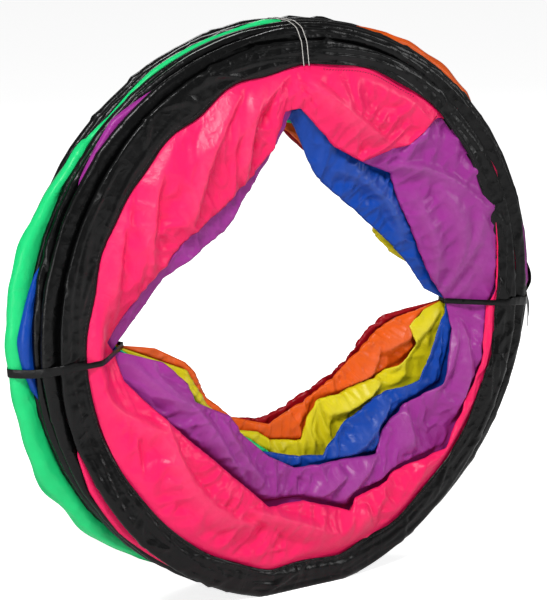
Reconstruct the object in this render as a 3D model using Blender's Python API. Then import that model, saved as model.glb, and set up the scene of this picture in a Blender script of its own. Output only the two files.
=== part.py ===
"""A play tunnel pushed flat and tied into a ring, standing on its rim.

Eight sprung hoops carry seven coloured panels of nylon between them. Each hoop is a ring of steel wire,
closed by a ferrule, in a black sleeve. Pushed flat, the panels fold inwards between the hoops and narrow
the bore. Two black ribbons, left and right, and a doubled thread at the top hold the bundle.

Lengths are in metres and angles in degrees. The tunnel's axis is Y and its front faces -Y. An angle goes
round the bore from +X through +Z, as seen from the front.
"""

import math

import bmesh
import bpy
from mathutils import Matrix, Vector

# Panels' colours from the front to the back, with a hoop before the first and after each
PANELS = ("pink", "purple", "blue", "green", "yellow", "orange", "red")
HOOP_COUNT = len(PANELS) + 1

# Hoops: the size of the bundle's rings, and how the front ones nest inside the others
HOOP_HALF_WIDTH = 0.2535
HOOP_HALF_HEIGHT = 0.250
NESTED_WIDTH = 0.022
NESTED_HEIGHT = 0.007
NESTING_FADE_SHARE = 0.35
SIDE_DRIFT = 0.011
HOOP_STATIONS = 36
STATION_STEP = 360 / HOOP_STATIONS

# Stack: how far each hoop lies behind the one before, as a share of the widest pitch by angle
HOOP_PITCH = 0.0086
STACK_SHARES = ((0, 0.77), (90, 0.83), (180, 0.93), (225, 1.0), (270, 1.0), (315, 0.83))
FRONT_SPLAY = 0.014
SPLAY_SHARES = ((0, 0), (192, 0), (232, 1), (290, 0.15), (325, 0))

# Wire and ferrule
WIRE_RADIUS = 0.0009
WIRE_SIDES = 5
WIRE_END_GAP = 0.001
WIRE_DEPTH = 0.0030
FERRULE_CLEARANCE = 0.0003
FERRULE_WALL = 0.0003
FERRULE_LENGTH = 0.025
FERRULE_SIDES = 8
FERRULE_ANGLE = 335

# Sleeve: a tape folded over the wire, whose legs hold the panels' edges
SLEEVE_RIM_HALF_WIDTH = 0.0012
SLEEVE_HALF_WIDTH = 0.0023
SLEEVE_SHOULDER = 0.0022
SLEEVE_THROAT_HALF_GAP = 0.0011
SLEEVE_TAPE = 0.0004
SLEEVE_DEPTH = 0.012
END_HEM_DEPTH = 0.024

# Panels: cloth whose edges lie in the sleeves, folded inwards from where the sleeves end
CLOTH_THICKNESS = 0.0004
CLOTH_SEAM = 0.006
CLOTH_SEAM_OFFSET = 0.0005
BAY_CLOTH_LENGTH = 0.270
FOLD_START = 0.238
REAR_FOLD_STEP = 0.010
RIDGE_RISE = 0.030
LEAST_RIDGE_RISE = 0.006
RIDGE_HALF_GAP = 0.00035
RIDGE_TIP_DEPTH = 0.002
BULGE_REACH = 0.022

# Ties and thread
LEFT_TIE_ANGLE = 185
RIGHT_TIE_ANGLE = 356
TIE_CROSSING = 0.170
TIE_SPAN = 1.6
TIE_WIDTH = 0.007
TIE_THICKNESS = 0.0008
TIE_CLEARANCE = 0.0004
TIE_SIDES = 24
KNOT_WIDTH = 0.010
KNOT_HEIGHT = 0.0055
KNOT_ROUNDING = 0.0018
TAIL_LENGTH = 0.032
TAIL_SPREAD = 0.010
THREAD_ANGLE = 90.5
THREAD_RADIUS = 0.00035
THREAD_SPACING = 0.0052
THREAD_CLEARANCE = 0.0003
THREAD_SIDES = 12

# Folds: how deep each panel's fold reaches at these angles, as a share of the deepest fold
FOLD_ANGLES = (
    RIGHT_TIE_ANGLE, 20, 48, 65, 90, 104, 125, 150, 168, LEFT_TIE_ANGLE, 205, 230, 255, 280, 310, 340,
)
FOLD_SHARES = {
    "pink": (0.28, 0.28, 0.40, 0.79, 0.41, 0.69, 0.84, 0.81, 0.67, 0.43, 0.65, 0.75, 0.52, 0.32, 0.28, 0.28),
    "purple": (0.58, 0.90, 0.83, 0.79, 0.58, 0.80, 0.97, 0.95, 0.79, 0.44, 0.95, 0.98, 0.82, 0.69, 0.65, 0.59),
    "blue": (0.59, 0.91, 1.00, 1.00, 0.76, 0.81, 0.86, 0.84, 0.74, 0.44, 0.84, 0.86, 0.81, 0.81, 0.80, 0.59),
    "green": (0.58, 0.84, 0.93, 0.89, 0.75, 0.82, 0.89, 0.86, 0.73, 0.44, 0.84, 0.89, 0.86, 0.84, 0.86, 0.65),
    "yellow": (0.58, 0.92, 0.96, 0.92, 0.74, 0.83, 0.92, 0.87, 0.74, 0.44, 0.92, 0.95, 0.87, 0.87, 0.94, 0.69),
    "orange": (0.56, 0.87, 0.98, 0.93, 0.73, 0.84, 0.93, 0.89, 0.76, 0.44, 1.00, 0.92, 0.95, 0.96, 0.99, 0.87),
    "red": (0.56, 0.84, 0.93, 0.90, 0.71, 0.81, 0.90, 0.87, 0.74, 0.44, 0.89, 0.90, 0.95, 0.97, 0.97, 0.90),
}
# Ridge between a panel's two folds: 0 inside the bore, 1 bulging its full reach outside the hoops
RIDGE_SHARES = {
    "pink": ((0, 0.55), (20, 0), (320, 0), (338, 0.80), (350, 0.87)),
    "purple": ((8, 0.92), (28, 0.75), (50, 0), (110, 0), (132, 0.80), (145, 0.86), (160, 0.75), (185, 0), (340, 0)),
    "blue": ((15, 0.80), (25, 0.86), (45, 0), (80, 0), (104, 0.83), (125, 0.70), (160, 0.78), (178, 0.88), (200, 0)),
    "green": ((75, 0), (95, 0.80), (125, 0.84), (150, 0.88), (168, 0.97), (185, 0.95), (205, 1.0), (222, 0.93), (262, 0)),
    "yellow": ((0, 0), (180, 0)),
    "orange": ((25, 0.60), (42, 0.85), (60, 0.82), (85, 0), (320, 0), (342, 0.93), (355, 0.75)),
    "red": ((0, 0), (180, 0)),
}

# Colours
PANEL_COLOURS = {
    "pink": (0.90, 0.03, 0.14),
    "purple": (0.30, 0.04, 0.28),
    "blue": (0.02, 0.09, 0.45),
    "green": (0.02, 0.62, 0.24),
    "yellow": (0.70, 0.62, 0.01),
    "orange": (0.80, 0.12, 0.01),
    "red": (0.36, 0.005, 0.01),
}
BLACK_COLOUR = (0.012, 0.012, 0.013)
WIRE_COLOUR = (0.42, 0.42, 0.44)
FERRULE_COLOUR = (0.62, 0.62, 0.60)
THREAD_COLOUR = (0.55, 0.53, 0.50)


def clear_scene():
    for obj in list(bpy.data.objects):
        bpy.data.objects.remove(obj, do_unlink=True)


def material(name, colour, roughness, metallic=0.0):
    made = bpy.data.materials.new(name)
    made.use_nodes = True
    shader = made.node_tree.nodes["Principled BSDF"]
    shader.inputs["Base Color"].default_value = (*colour, 1)
    shader.inputs["Roughness"].default_value = roughness
    shader.inputs["Metallic"].default_value = metallic
    made.diffuse_color = (*colour, 1)
    return made


def around(angle, marks):
    """The value at an angle, turning smoothly from each (angle, value) mark to the next, all the way round."""
    marks = sorted((mark % 360, value) for mark, value in marks)
    marks = [(marks[-1][0] - 360, marks[-1][1]), *marks, (marks[0][0] + 360, marks[0][1])]
    angle %= 360
    for (low, first), (high, second) in zip(marks, marks[1:]):
        if low <= angle <= high:
            share = (angle - low) / (high - low)
            return first + (second - first) * share * share * (3 - 2 * share)


def outward(angle):
    turn = math.radians(angle)
    return Vector((math.cos(turn), 0, math.sin(turn)))


def half_width(hoop):
    return HOOP_HALF_WIDTH - NESTED_WIDTH * NESTING_FADE_SHARE**hoop


def half_height(hoop):
    return HOOP_HALF_HEIGHT - NESTED_HEIGHT * NESTING_FADE_SHARE**hoop


def hoop_centre(hoop):
    """The middle of a hoop. The lowest facets on both sides of its bottom lie flat on the floor."""
    side = SIDE_DRIFT * hoop / (HOOP_COUNT - 1)
    return Vector((side, 0, half_height(hoop) * math.cos(math.radians(STATION_STEP))))


def bundle_middle():
    return hoop_centre(HOOP_COUNT // 2)


def rim_radius(hoop, angle):
    """From a hoop's middle to its outer edge: an oval, pressed flat where it stands."""
    direction = outward(angle)
    wide, high = half_width(hoop), half_height(hoop)
    oval = wide * high / math.hypot(high * direction.x, wide * direction.z)
    if direction.z < 0:
        return min(oval, hoop_centre(hoop).z / -direction.z)
    return oval


def plane_at_station(hoop, angle):
    place = (hoop - (HOOP_COUNT - 1) / 2) * HOOP_PITCH * around(angle, STACK_SHARES)
    if hoop == 0:
        place -= FRONT_SPLAY * around(angle, SPLAY_SHARES)
    return place


def plane(hoop, angle):
    """How far along the tunnel a hoop lies at an angle, straight between its stations."""
    low = math.floor(angle / STATION_STEP) * STATION_STEP
    share = (angle - low) / STATION_STEP
    return plane_at_station(hoop, low) * (1 - share) + plane_at_station(hoop, low + STATION_STEP) * share


def sleeve_depth(hoop):
    return END_HEM_DEPTH if hoop in (0, HOOP_COUNT - 1) else SLEEVE_DEPTH


def on_hoop(hoop, angle, depth, along=0.0):
    """A point that lies depth inside a hoop's outer edge, and along the tunnel from the hoop's own plane."""
    place = hoop_centre(hoop) + outward(angle) * (rim_radius(hoop, angle) - depth)
    return place + Vector((0, plane(hoop, angle) + along, 0))


def loft(name, rings, closed, colour_material):
    """A closed body through rings of as many points each: a closed loop of rings, or an open one with ends."""
    bm = bmesh.new()
    made = [[bm.verts.new(point) for point in ring] for ring in rings]
    pairs = list(zip(made, made[1:]))
    if closed:
        pairs.append((made[-1], made[0]))
    else:
        bm.faces.new(made[0])
        bm.faces.new(made[-1])
    for first, second in pairs:
        for i in range(len(first)):
            j = (i + 1) % len(first)
            bm.faces.new((first[i], first[j], second[j], second[i]))
    bmesh.ops.recalc_face_normals(bm, faces=bm.faces)
    mesh = bpy.data.meshes.new(name)
    bm.to_mesh(mesh)
    bm.free()
    mesh.shade_smooth()
    mesh.set_sharp_from_angle(angle=math.radians(40))
    mesh.materials.append(colour_material)
    obj = bpy.data.objects.new(name, mesh)
    bpy.context.scene.collection.objects.link(obj)
    return obj


def carry(obj, axis):
    """Hang a piece on its hoop's axis, with its origin there and its shape where it was modelled."""
    obj.data.transform(axis["shift"])
    obj.parent = axis["empty"]


def make_axes():
    """An empty in the middle of each hoop. Each hangs on the one before it, as the hoops slide."""
    axes = []
    before, before_place = None, Vector()
    for hoop in range(HOOP_COUNT):
        place = hoop_centre(hoop) + Vector((0, (hoop - (HOOP_COUNT - 1) / 2) * HOOP_PITCH, 0))
        empty = bpy.data.objects.new(f"hoop_{hoop + 1}_axis", None)
        empty.empty_display_size = SLEEVE_DEPTH
        bpy.context.scene.collection.objects.link(empty)
        empty.parent = before
        empty.location = place - before_place
        axes.append({"empty": empty, "shift": Matrix.Translation(-place)})
        before, before_place = empty, place
    return axes


def stations(*extra):
    return sorted([i * STATION_STEP for i in range(HOOP_STATIONS)] + list(extra))


def sleeve_ring(hoop, angle):
    """The folded tape's section: round the outside, then back along the inside of the channel and legs."""
    deep = sleeve_depth(hoop)
    tape = SLEEVE_TAPE
    inside = SLEEVE_HALF_WIDTH - tape
    outside_leg = SLEEVE_THROAT_HALF_GAP + tape
    section = (
        (deep, -outside_leg),
        (SLEEVE_SHOULDER, -SLEEVE_HALF_WIDTH),
        (0, -SLEEVE_RIM_HALF_WIDTH),
        (0, SLEEVE_RIM_HALF_WIDTH),
        (SLEEVE_SHOULDER, SLEEVE_HALF_WIDTH),
        (deep, outside_leg),
        (deep, SLEEVE_THROAT_HALF_GAP),
        (SLEEVE_SHOULDER, inside),
        (tape, 0),
        (SLEEVE_SHOULDER, -inside),
        (deep, -SLEEVE_THROAT_HALF_GAP),
    )
    return [on_hoop(hoop, angle, depth, along) for depth, along in section]


def make_sleeve(hoop, black):
    rings = [sleeve_ring(hoop, angle) for angle in stations()]
    return loft(f"sleeve_{hoop + 1}", rings, True, black)


def circle(middle, first, second, radius, sides):
    turns = [2 * math.pi * i / sides for i in range(sides)]
    return [middle + (first * math.cos(turn) + second * math.sin(turn)) * radius for turn in turns]


def ferrule_seat(hoop):
    """The straight stretch of wire that the ferrule closes: its middle and its direction."""
    start = on_hoop(hoop, FERRULE_ANGLE - STATION_STEP / 2, WIRE_DEPTH)
    end = on_hoop(hoop, FERRULE_ANGLE + STATION_STEP / 2, WIRE_DEPTH)
    return (start + end) / 2, (end - start).normalized()


def make_wire(hoop, steel):
    """A ring of spring wire whose two ends meet inside the ferrule."""
    middle, direction = ferrule_seat(hoop)
    half_gap = direction * WIRE_END_GAP / 2
    along = Vector((0, 1, 0))
    places = [(middle + half_gap, FERRULE_ANGLE)]
    for i in range(HOOP_STATIONS):
        angle = FERRULE_ANGLE + STATION_STEP / 2 + i * STATION_STEP
        places.append((on_hoop(hoop, angle, WIRE_DEPTH), angle))
    places.append((middle - half_gap, FERRULE_ANGLE))
    rings = [circle(place, outward(angle), along, WIRE_RADIUS, WIRE_SIDES) for place, angle in places]
    return loft(f"wire_{hoop + 1}", rings, False, steel)


def make_ferrule(hoop, steel):
    """A crimped tube over both ends of the wire."""
    middle, direction = ferrule_seat(hoop)
    radial = outward(FERRULE_ANGLE)
    sideways = direction.cross(radial).normalized()
    radial = sideways.cross(direction)
    bore = WIRE_RADIUS + FERRULE_CLEARANCE
    ends = [middle - direction * FERRULE_LENGTH / 2, middle + direction * FERRULE_LENGTH / 2]
    circles = [
        circle(ends[0], radial, sideways, bore + FERRULE_WALL, FERRULE_SIDES),
        circle(ends[1], radial, sideways, bore + FERRULE_WALL, FERRULE_SIDES),
        circle(ends[1], radial, sideways, bore, FERRULE_SIDES),
        circle(ends[0], radial, sideways, bore, FERRULE_SIDES),
    ]
    return loft(f"ferrule_{hoop + 1}", list(zip(*circles)), True, steel)


def fold_depth(colour, angle):
    return BAY_CLOTH_LENGTH / 2 * around(angle, tuple(zip(FOLD_ANGLES, FOLD_SHARES[colour])))


def ridge_radius(colour, bay, angle):
    """The cloth that a panel's two folds leave over rises between them, up to the ridge's height."""
    depth = fold_depth(colour, angle)
    rise = min(RIDGE_RISE, max(LEAST_RIDGE_RISE, BAY_CLOTH_LENGTH / 2 - depth))
    inner = FOLD_START - depth + REAR_FOLD_STEP + rise
    outer = max(rim_radius(bay, angle), rim_radius(bay + 1, angle)) + BULGE_REACH
    return inner + (outer - inner) * around(angle, RIDGE_SHARES[colour])


def panel_middle(bay):
    return (hoop_centre(bay) + hoop_centre(bay + 1)) / 2


def tie_on_panel(bay, tie):
    """The angle at which a tie crosses a panel's folds, seen from the panel's own middle."""
    crossing = bundle_middle() + outward(tie) * TIE_CROSSING - panel_middle(bay)
    return math.degrees(math.atan2(crossing.z, crossing.x)) % 360


def tie_edges(bay, tie):
    crossing = tie_on_panel(bay, tie)
    return (crossing - TIE_SPAN, crossing + TIE_SPAN)


def held_angle(bay, angle):
    """A panel keeps one section across the width of a tie, so that the tie lies flat on it."""
    for tie in (LEFT_TIE_ANGLE, RIGHT_TIE_ANGLE):
        low, high = tie_edges(bay, tie)
        if low <= angle <= high:
            return tie_on_panel(bay, tie)
    return angle


def panel_ring(bay, angle):
    """A panel's section: from one sleeve in to the front fold, out to the ridge, in to the rear fold
    and out to the next sleeve, first along one face of the cloth and then back along the other."""
    colour = PANELS[bay]
    held = held_angle(bay, angle)
    direction = outward(angle)
    half = CLOTH_THICKNESS / 2
    front, rear = plane(bay, angle) + CLOTH_SEAM_OFFSET, plane(bay + 1, angle) - CLOTH_SEAM_OFFSET
    ridge = (front + rear) / 2
    front_fold = FOLD_START - fold_depth(colour, held)
    rear_fold = front_fold + REAR_FOLD_STEP
    tip = ridge_radius(colour, bay, held)
    middle = panel_middle(bay)

    def edge(hoop, along):
        inner_edge = rim_radius(hoop, angle) - sleeve_depth(hoop) + CLOTH_SEAM
        return hoop_centre(hoop) + direction * inner_edge + Vector((0, along, 0))

    def fold(radius, along):
        return middle + direction * radius + Vector((0, along, 0))

    return [
        edge(bay, front - half),
        fold(front_fold - half, front - half),
        fold(front_fold - half, ridge - RIDGE_HALF_GAP + half),
        fold(tip - RIDGE_TIP_DEPTH, ridge),
        fold(rear_fold - half, ridge + RIDGE_HALF_GAP - half),
        fold(rear_fold - half, rear + half),
        edge(bay + 1, rear + half),
        edge(bay + 1, rear - half),
        fold(rear_fold + half, rear - half),
        fold(rear_fold + half, ridge + RIDGE_HALF_GAP + half),
        fold(tip, ridge),
        fold(front_fold + half, ridge - RIDGE_HALF_GAP - half),
        fold(front_fold + half, front + half),
        edge(bay, front + half),
    ]


def make_panel(bay, cloth):
    angles = stations(*tie_edges(bay, LEFT_TIE_ANGLE), *tie_edges(bay, RIGHT_TIE_ANGLE))
    rings = [panel_ring(bay, angle) for angle in angles]
    return loft(f"panel_{bay + 1}_{PANELS[bay]}", rings, True, cloth)


def supports(points, angle, turns):
    """How far the points reach in each direction of the plane through the tunnel's axis at an angle."""
    direction = outward(angle)
    middle = bundle_middle()
    flat = [((point - middle).dot(direction), point.y) for point in points]
    return [max(out * math.cos(turn) + along * math.sin(turn) for out, along in flat) for turn in turns]


def corners(reach, turns):
    """The corners between neighbouring lines that lie at these reaches, with normals at these turns."""
    found = []
    for (first, turn), (second, following) in zip(zip(reach, turns), zip(reach[1:], turns[1:])):
        spread = math.sin(following - turn)
        out = (first * math.sin(following) - second * math.sin(turn)) / spread
        along = (second * math.cos(turn) - first * math.cos(following)) / spread
        found.append((out, along))
    return found


def sleeve_points(angle):
    low = math.floor(angle / STATION_STEP) * STATION_STEP
    near = (low, low + STATION_STEP)
    return [point for hoop in range(HOOP_COUNT) for at in near for point in sleeve_ring(hoop, at)]


def panel_points(angle):
    bays = range(HOOP_COUNT - 1)
    return [point for bay in bays for at in tie_edges(bay, angle) for point in panel_ring(bay, at)]


def make_tie(name, angle, knot_turn, black):
    """A ribbon pulled tight round the hoops and the gathered cloth, with a knot and two short tails."""
    direction = outward(angle)
    across = Vector((0, 1, 0)).cross(direction)
    half = across * TIE_WIDTH / 2
    middle = bundle_middle()
    turns = [2 * math.pi * i / TIE_SIDES for i in range(TIE_SIDES + 1)]
    reach = supports(sleeve_points(angle) + panel_points(angle), angle, turns)
    inner = corners([far + TIE_CLEARANCE for far in reach], turns)
    outer = corners([far + TIE_CLEARANCE + TIE_THICKNESS for far in reach], turns)

    def place(corner):
        return middle + direction * corner[0] + Vector((0, corner[1], 0))

    rings = []
    for inside, outside in zip(inner, outer):
        rings.append([place(inside) - half, place(inside) + half, place(outside) + half, place(outside) - half])
    ribbon = loft(name, rings, True, black)

    step = min(range(TIE_SIDES), key=lambda i: abs(turns[i] - knot_turn))
    facing = direction * math.cos(turns[step]) + Vector((0, math.sin(turns[step]), 0))
    lying = across.cross(facing)
    seat = (place(outer[step - 1]) + place(outer[step])) / 2
    knot = make_knot(f"{name}_knot", seat, facing, across, lying, black)
    join(ribbon, knot)
    for side in (-1, 1):
        tail = make_tail(f"{name}_tail_{side}", seat, facing, across * side, lying * side, black)
        join(ribbon, tail)
    return ribbon


def make_knot(name, seat, facing, across, lying, black):
    """A small rounded lump that the ribbon runs into."""
    bm = bmesh.new()
    bmesh.ops.create_cube(bm, size=1)
    middle = seat + facing * (KNOT_HEIGHT / 2 - TIE_THICKNESS / 2)
    for vert in bm.verts:
        share = vert.co.copy()
        vert.co = middle + across * share.x * KNOT_WIDTH + lying * share.y * KNOT_WIDTH
        vert.co += facing * share.z * KNOT_HEIGHT
    edges = list(bm.edges)
    bmesh.ops.bevel(bm, geom=edges, offset=KNOT_ROUNDING, segments=1, affect="EDGES")
    bmesh.ops.recalc_face_normals(bm, faces=bm.faces)
    mesh = bpy.data.meshes.new(name)
    bm.to_mesh(mesh)
    bm.free()
    mesh.materials.append(black)
    knot = bpy.data.objects.new(name, mesh)
    bpy.context.scene.collection.objects.link(knot)
    return knot


def make_tail(name, seat, facing, across, lying, black):
    """A free end of the ribbon, which springs up from the knot and drops to the side."""
    half_tape = TIE_THICKNESS / 2
    rise = KNOT_HEIGHT / 2
    path_shares = ((0.0, 0.0), (0.4, 1.3), (1.0, 0.9))
    rings = []
    for reach_share, rise_share in path_shares:
        place = seat + across * TAIL_LENGTH * reach_share + lying * TAIL_SPREAD * reach_share
        place += facing * rise * (0.5 + rise_share)
        half = lying * TIE_WIDTH / 2
        thick = facing * half_tape
        rings.append([place - half - thick, place + half - thick, place + half + thick, place - half + thick])
    return loft(name, rings, False, black)


def join(body, helper):
    """Unite a helper with a body, and leave the helper out of the picture."""
    helper.hide_render = True
    helper.display_type = "WIRE"
    union = body.modifiers.new(helper.name, "BOOLEAN")
    union.operation = "UNION"
    union.object = helper


def make_thread(nylon):
    """A thin thread stitched through the front hem, taken over all the rims, and back beside itself."""
    direction = outward(THREAD_ANGLE)
    across = Vector((0, 1, 0)).cross(direction)
    middle = bundle_middle()
    offset = THREAD_CLEARANCE + THREAD_RADIUS
    turns = [math.pi * (i / THREAD_SIDES - 0.5) for i in range(THREAD_SIDES + 1)]
    reach = [far + offset for far in supports(sleeve_points(THREAD_ANGLE), THREAD_ANGLE, turns)]
    over = corners(reach, turns)
    last = HOOP_COUNT - 1
    hem_edges = [
        (on_hoop(hoop, THREAD_ANGLE, END_HEM_DEPTH) - middle).dot(direction) for hoop in (0, last)
    ]
    line = [(hem_edges[0], -reach[0]), *over, (hem_edges[1], reach[-1])]
    side = across * THREAD_SPACING / 2
    there = [middle + direction * out + Vector((0, along, 0)) + side for out, along in line]
    back = [point - 2 * side for point in reversed(there)]
    curve = bpy.data.curves.new("top_thread", "CURVE")
    curve.dimensions = "3D"
    curve.bevel_depth = THREAD_RADIUS
    curve.bevel_resolution = 1
    curve.use_fill_caps = True
    curve.materials.append(nylon)
    spline = curve.splines.new("POLY")
    spline.points.add(len(there + back) - 1)
    for point, place in zip(spline.points, there + back):
        point.co = (*place, 1)
    thread = bpy.data.objects.new("top_thread", curve)
    bpy.context.scene.collection.objects.link(thread)
    return thread


def centre_on_floor(first_axis):
    """Move the whole tunnel so that its origin is in the middle of the floor it covers."""
    bpy.context.view_layer.update()
    graph = bpy.context.evaluated_depsgraph_get()
    xs, ys = [], []
    for obj in bpy.context.scene.objects:
        if obj.type == "EMPTY" or obj.hide_render:
            continue
        shown = obj.evaluated_get(graph)
        places = [shown.matrix_world @ vert.co for vert in shown.to_mesh().vertices]
        shown.to_mesh_clear()
        xs += [place.x for place in places]
        ys += [place.y for place in places]
    first_axis.location -= Vector(((min(xs) + max(xs)) / 2, (min(ys) + max(ys)) / 2, 0))


def build():
    clear_scene()
    black = material("black_nylon", BLACK_COLOUR, 0.45)
    steel = material("spring_wire", WIRE_COLOUR, 0.3, 1.0)
    crimp = material("ferrule_steel", FERRULE_COLOUR, 0.35, 1.0)
    nylon = material("clear_thread", THREAD_COLOUR, 0.3)
    axes = make_axes()
    for hoop, axis in enumerate(axes):
        carry(make_sleeve(hoop, black), axis)
        carry(make_wire(hoop, steel), axis)
        carry(make_ferrule(hoop, crimp), axis)
    for bay, colour in enumerate(PANELS):
        cloth = material(f"{colour}_nylon", PANEL_COLOURS[colour], 0.4)
        carry(make_panel(bay, cloth), axes[bay])
    for name, angle, knot_turn in (("tie_left", LEFT_TIE_ANGLE, math.pi / 2), ("tie_right", RIGHT_TIE_ANGLE, 0)):
        tie = make_tie(name, angle, knot_turn, black)
        carry(tie, axes[0])
        for union in tie.modifiers:
            carry(union.object, axes[0])
    carry(make_thread(nylon), axes[0])
    centre_on_floor(axes[0]["empty"])


build()
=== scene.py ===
import math

import bmesh
import bpy
import numpy as np
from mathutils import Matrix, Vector


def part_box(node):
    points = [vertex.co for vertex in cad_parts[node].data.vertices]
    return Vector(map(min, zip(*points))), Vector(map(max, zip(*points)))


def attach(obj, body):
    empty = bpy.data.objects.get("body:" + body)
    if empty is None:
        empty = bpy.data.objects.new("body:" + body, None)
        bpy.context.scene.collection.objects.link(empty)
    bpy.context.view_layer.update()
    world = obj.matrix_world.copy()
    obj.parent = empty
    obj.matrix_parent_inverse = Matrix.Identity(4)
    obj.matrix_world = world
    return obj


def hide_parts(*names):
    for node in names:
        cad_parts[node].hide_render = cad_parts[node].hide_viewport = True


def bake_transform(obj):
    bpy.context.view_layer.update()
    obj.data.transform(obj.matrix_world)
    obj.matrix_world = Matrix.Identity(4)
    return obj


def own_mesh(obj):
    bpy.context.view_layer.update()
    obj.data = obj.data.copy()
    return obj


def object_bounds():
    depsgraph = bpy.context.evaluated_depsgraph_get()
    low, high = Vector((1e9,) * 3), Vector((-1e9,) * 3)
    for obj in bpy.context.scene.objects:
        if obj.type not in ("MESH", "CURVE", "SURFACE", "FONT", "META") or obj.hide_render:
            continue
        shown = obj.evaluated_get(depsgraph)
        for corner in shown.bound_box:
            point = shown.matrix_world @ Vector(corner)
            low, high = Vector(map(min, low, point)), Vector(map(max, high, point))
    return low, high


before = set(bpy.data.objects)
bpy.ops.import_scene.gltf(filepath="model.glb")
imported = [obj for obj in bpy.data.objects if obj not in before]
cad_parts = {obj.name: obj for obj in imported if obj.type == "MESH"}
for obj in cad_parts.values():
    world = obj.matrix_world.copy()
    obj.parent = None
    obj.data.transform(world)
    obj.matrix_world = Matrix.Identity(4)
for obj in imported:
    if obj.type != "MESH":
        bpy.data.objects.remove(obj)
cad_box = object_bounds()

# A play tunnel, pushed flat and tied: black sleeves on sprung hoops, wrinkled nylon panels folded in
# between them, two ribbons, left and right, and a thread at the top. Lengths are in metres.
TURN = 2 * math.pi
PANELS = ("pink", "purple", "blue", "green", "yellow", "orange", "red")
HOOPS = len(PANELS) + 1
STATIONS = 36
ALONG = np.array([0, 1, 0])
SEED = 11

# Cloth
COLUMNS = 550
COLUMNS_EVENED = 14
FRONT_ROWS = {"pink": 44, "purple": 42, "blue": 34, "green": 26, "yellow": 30, "orange": 28, "red": 18}
REAR_ROWS = {"pink": 12, "purple": 14, "blue": 14, "green": 16, "yellow": 16, "orange": 20, "red": 38}
HIDDEN_WALL_ROWS = 5
RIDGE_ROWS = 5
HIDDEN_ROWS = 2
BULGE_ROWS = 6
CLOTH_THICKNESS = 0.0003
SEAM_OFFSET = 0.0005
PLEATED_LENGTH = 0.295
PLEAT_RISE = 0.012
PLEAT_INSETS = ((0, 0.007), (105, 0.007), (125, 0.017), (205, 0.017), (225, 0.007))
RIDGE_OFFSET = 0.00055
SEAM_GRIP = 0.004
REAR_FOLD_STEP = 0.010
RIDGE_START = 0.028
RIDGE_RISE = 0.030
BULGE_REACH = 0.022
PUFF_LIMIT = 0.0195
PROUD_LIMIT = 0.0112
HIDDEN_TIP_INSET = 0.014
BAG_HALF_WIDTH = 0.0050
UNEVEN_TIP = 0.0016
COVERED_EDGE = 0.010
LAYER_GAP = 0.0006
COVER_BLEND = 0.008
COVER_MARGIN = -0.003
BILLOW = 0.0070
FACETS = 0.0062
FOLD_TAPER = 0.35
PLEATS = 0.0026
FINE_CRUMPLE = 0.00035
CHART_RADIUS = 0.17
CREST_POWER = 4
WORN_CREST = 0.009

# The least and most that the creases' heights and widths may be
TIE_FAN_HEIGHTS = (0.0018, 0.0042)
TIE_FAN_WIDTHS = (0.005, 0.010)
TOP_FAN_HEIGHTS = (0.0016, 0.0036)
TOP_FAN_WIDTHS = (0.005, 0.009)
CORNER_HEIGHTS = (0.0010, 0.0030)
CORNER_WIDTHS = (0.004, 0.010)
LOOSE_HEIGHTS = (0.0007, 0.0022)
LOOSE_WIDTHS = (0.0035, 0.0085)
BAG_CREASE_HEIGHTS = (0.0010, 0.0034)
BAG_CREASE_WIDTHS = (0.003, 0.009)
TAPE_FOLD_HEIGHTS = (0.0008, 0.0022)
TAPE_FOLD_WIDTHS = (0.0022, 0.0048)
TAPE_SLANT_HEIGHTS = (0.0008, 0.0026)
TAPE_SLANT_WIDTHS = (0.003, 0.0060)
SEAM_PUCKER_HEIGHTS = (0.0003, 0.0009)
SEAM_PUCKER_WIDTHS = (0.0018, 0.0032)

# Ties and gathers
LOOP_SIDES = 72
TIE_ANGLES = (math.radians(185), math.radians(356))
TOP_ANGLE = math.radians(90.5)
GATHER_SHARE = 0.35
GATHER_SPAN = math.radians(22)
SQUEEZE_SHARE = 0.70
SQUEEZE_REACH = 0.045
SQUEEZE_INSET = 0.001
SQUEEZE_FADE = 0.020
SQUEEZE_FRONT_GAP = 0.0066
TIE_WIDTH = 0.0075
TIE_BITE = 0.0014
TIE_THICKNESS = 0.0006
TIE_CLEARANCE = 0.0005
TIE_SWAY = 0.0012
TAIL_LENGTH = 0.030
KNOT_SIZE = (0.0095, 0.0095, 0.0032)
KNOT_CORD = (0.0017, 0.0010)
KNOT_LIFT = 0.0016
BITE_SPAN = 0.014
BITE_SHARE = 0.35
THREAD_RADIUS = 0.00035
THREAD_SPACING = 0.0052
THREAD_CLEARANCE = 0.0002

# Sleeves
HEM_COLUMNS = 900
CASING_COLUMNS = 600
HEM_LEG_ROWS = 17
CASING_LEG_ROWS = 9
SLEEVE_TAPE = 0.0004
SLEEVE_HALF_WIDTH = 0.0025
SLEEVE_SHOULDER = 0.0024
SLEEVE_RIM_HALF_WIDTH = 0.0013
CROWN_DROP = 0.0008
CROWN_SHARE = 0.86
SLEEVE_FULLNESS = 0.0045
SLEEVE_GAP = 0.0007
THROAT_HALF_WIDTH = 0.0015
CASING_DEPTH = 0.012
HEM_DEPTH = 0.024
HEM_WAVE = 0.045
TAPE_GRAIN = 0.00012
HEM_SETTLE, CASING_SETTLE = 0.0004, 0.0002
HEM_LEAN, CASING_LEAN = 0.0007, 0.0002
SECOND_CASING_SHARES = ((0, 1.0), (95, 1.0), (120, 1.7), (200, 1.8), (222, 1.0))
FRONT_HEM_SHARES = (
    (0, 0.88), (25, 0.80), (50, 0.62), (70, 0.72), (90, 0.92), (120, 1.20), (150, 1.18), (180, 1.05),
    (200, 1.0), (225, 1.06), (270, 1.0), (300, 1.0), (340, 0.92),
)

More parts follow.
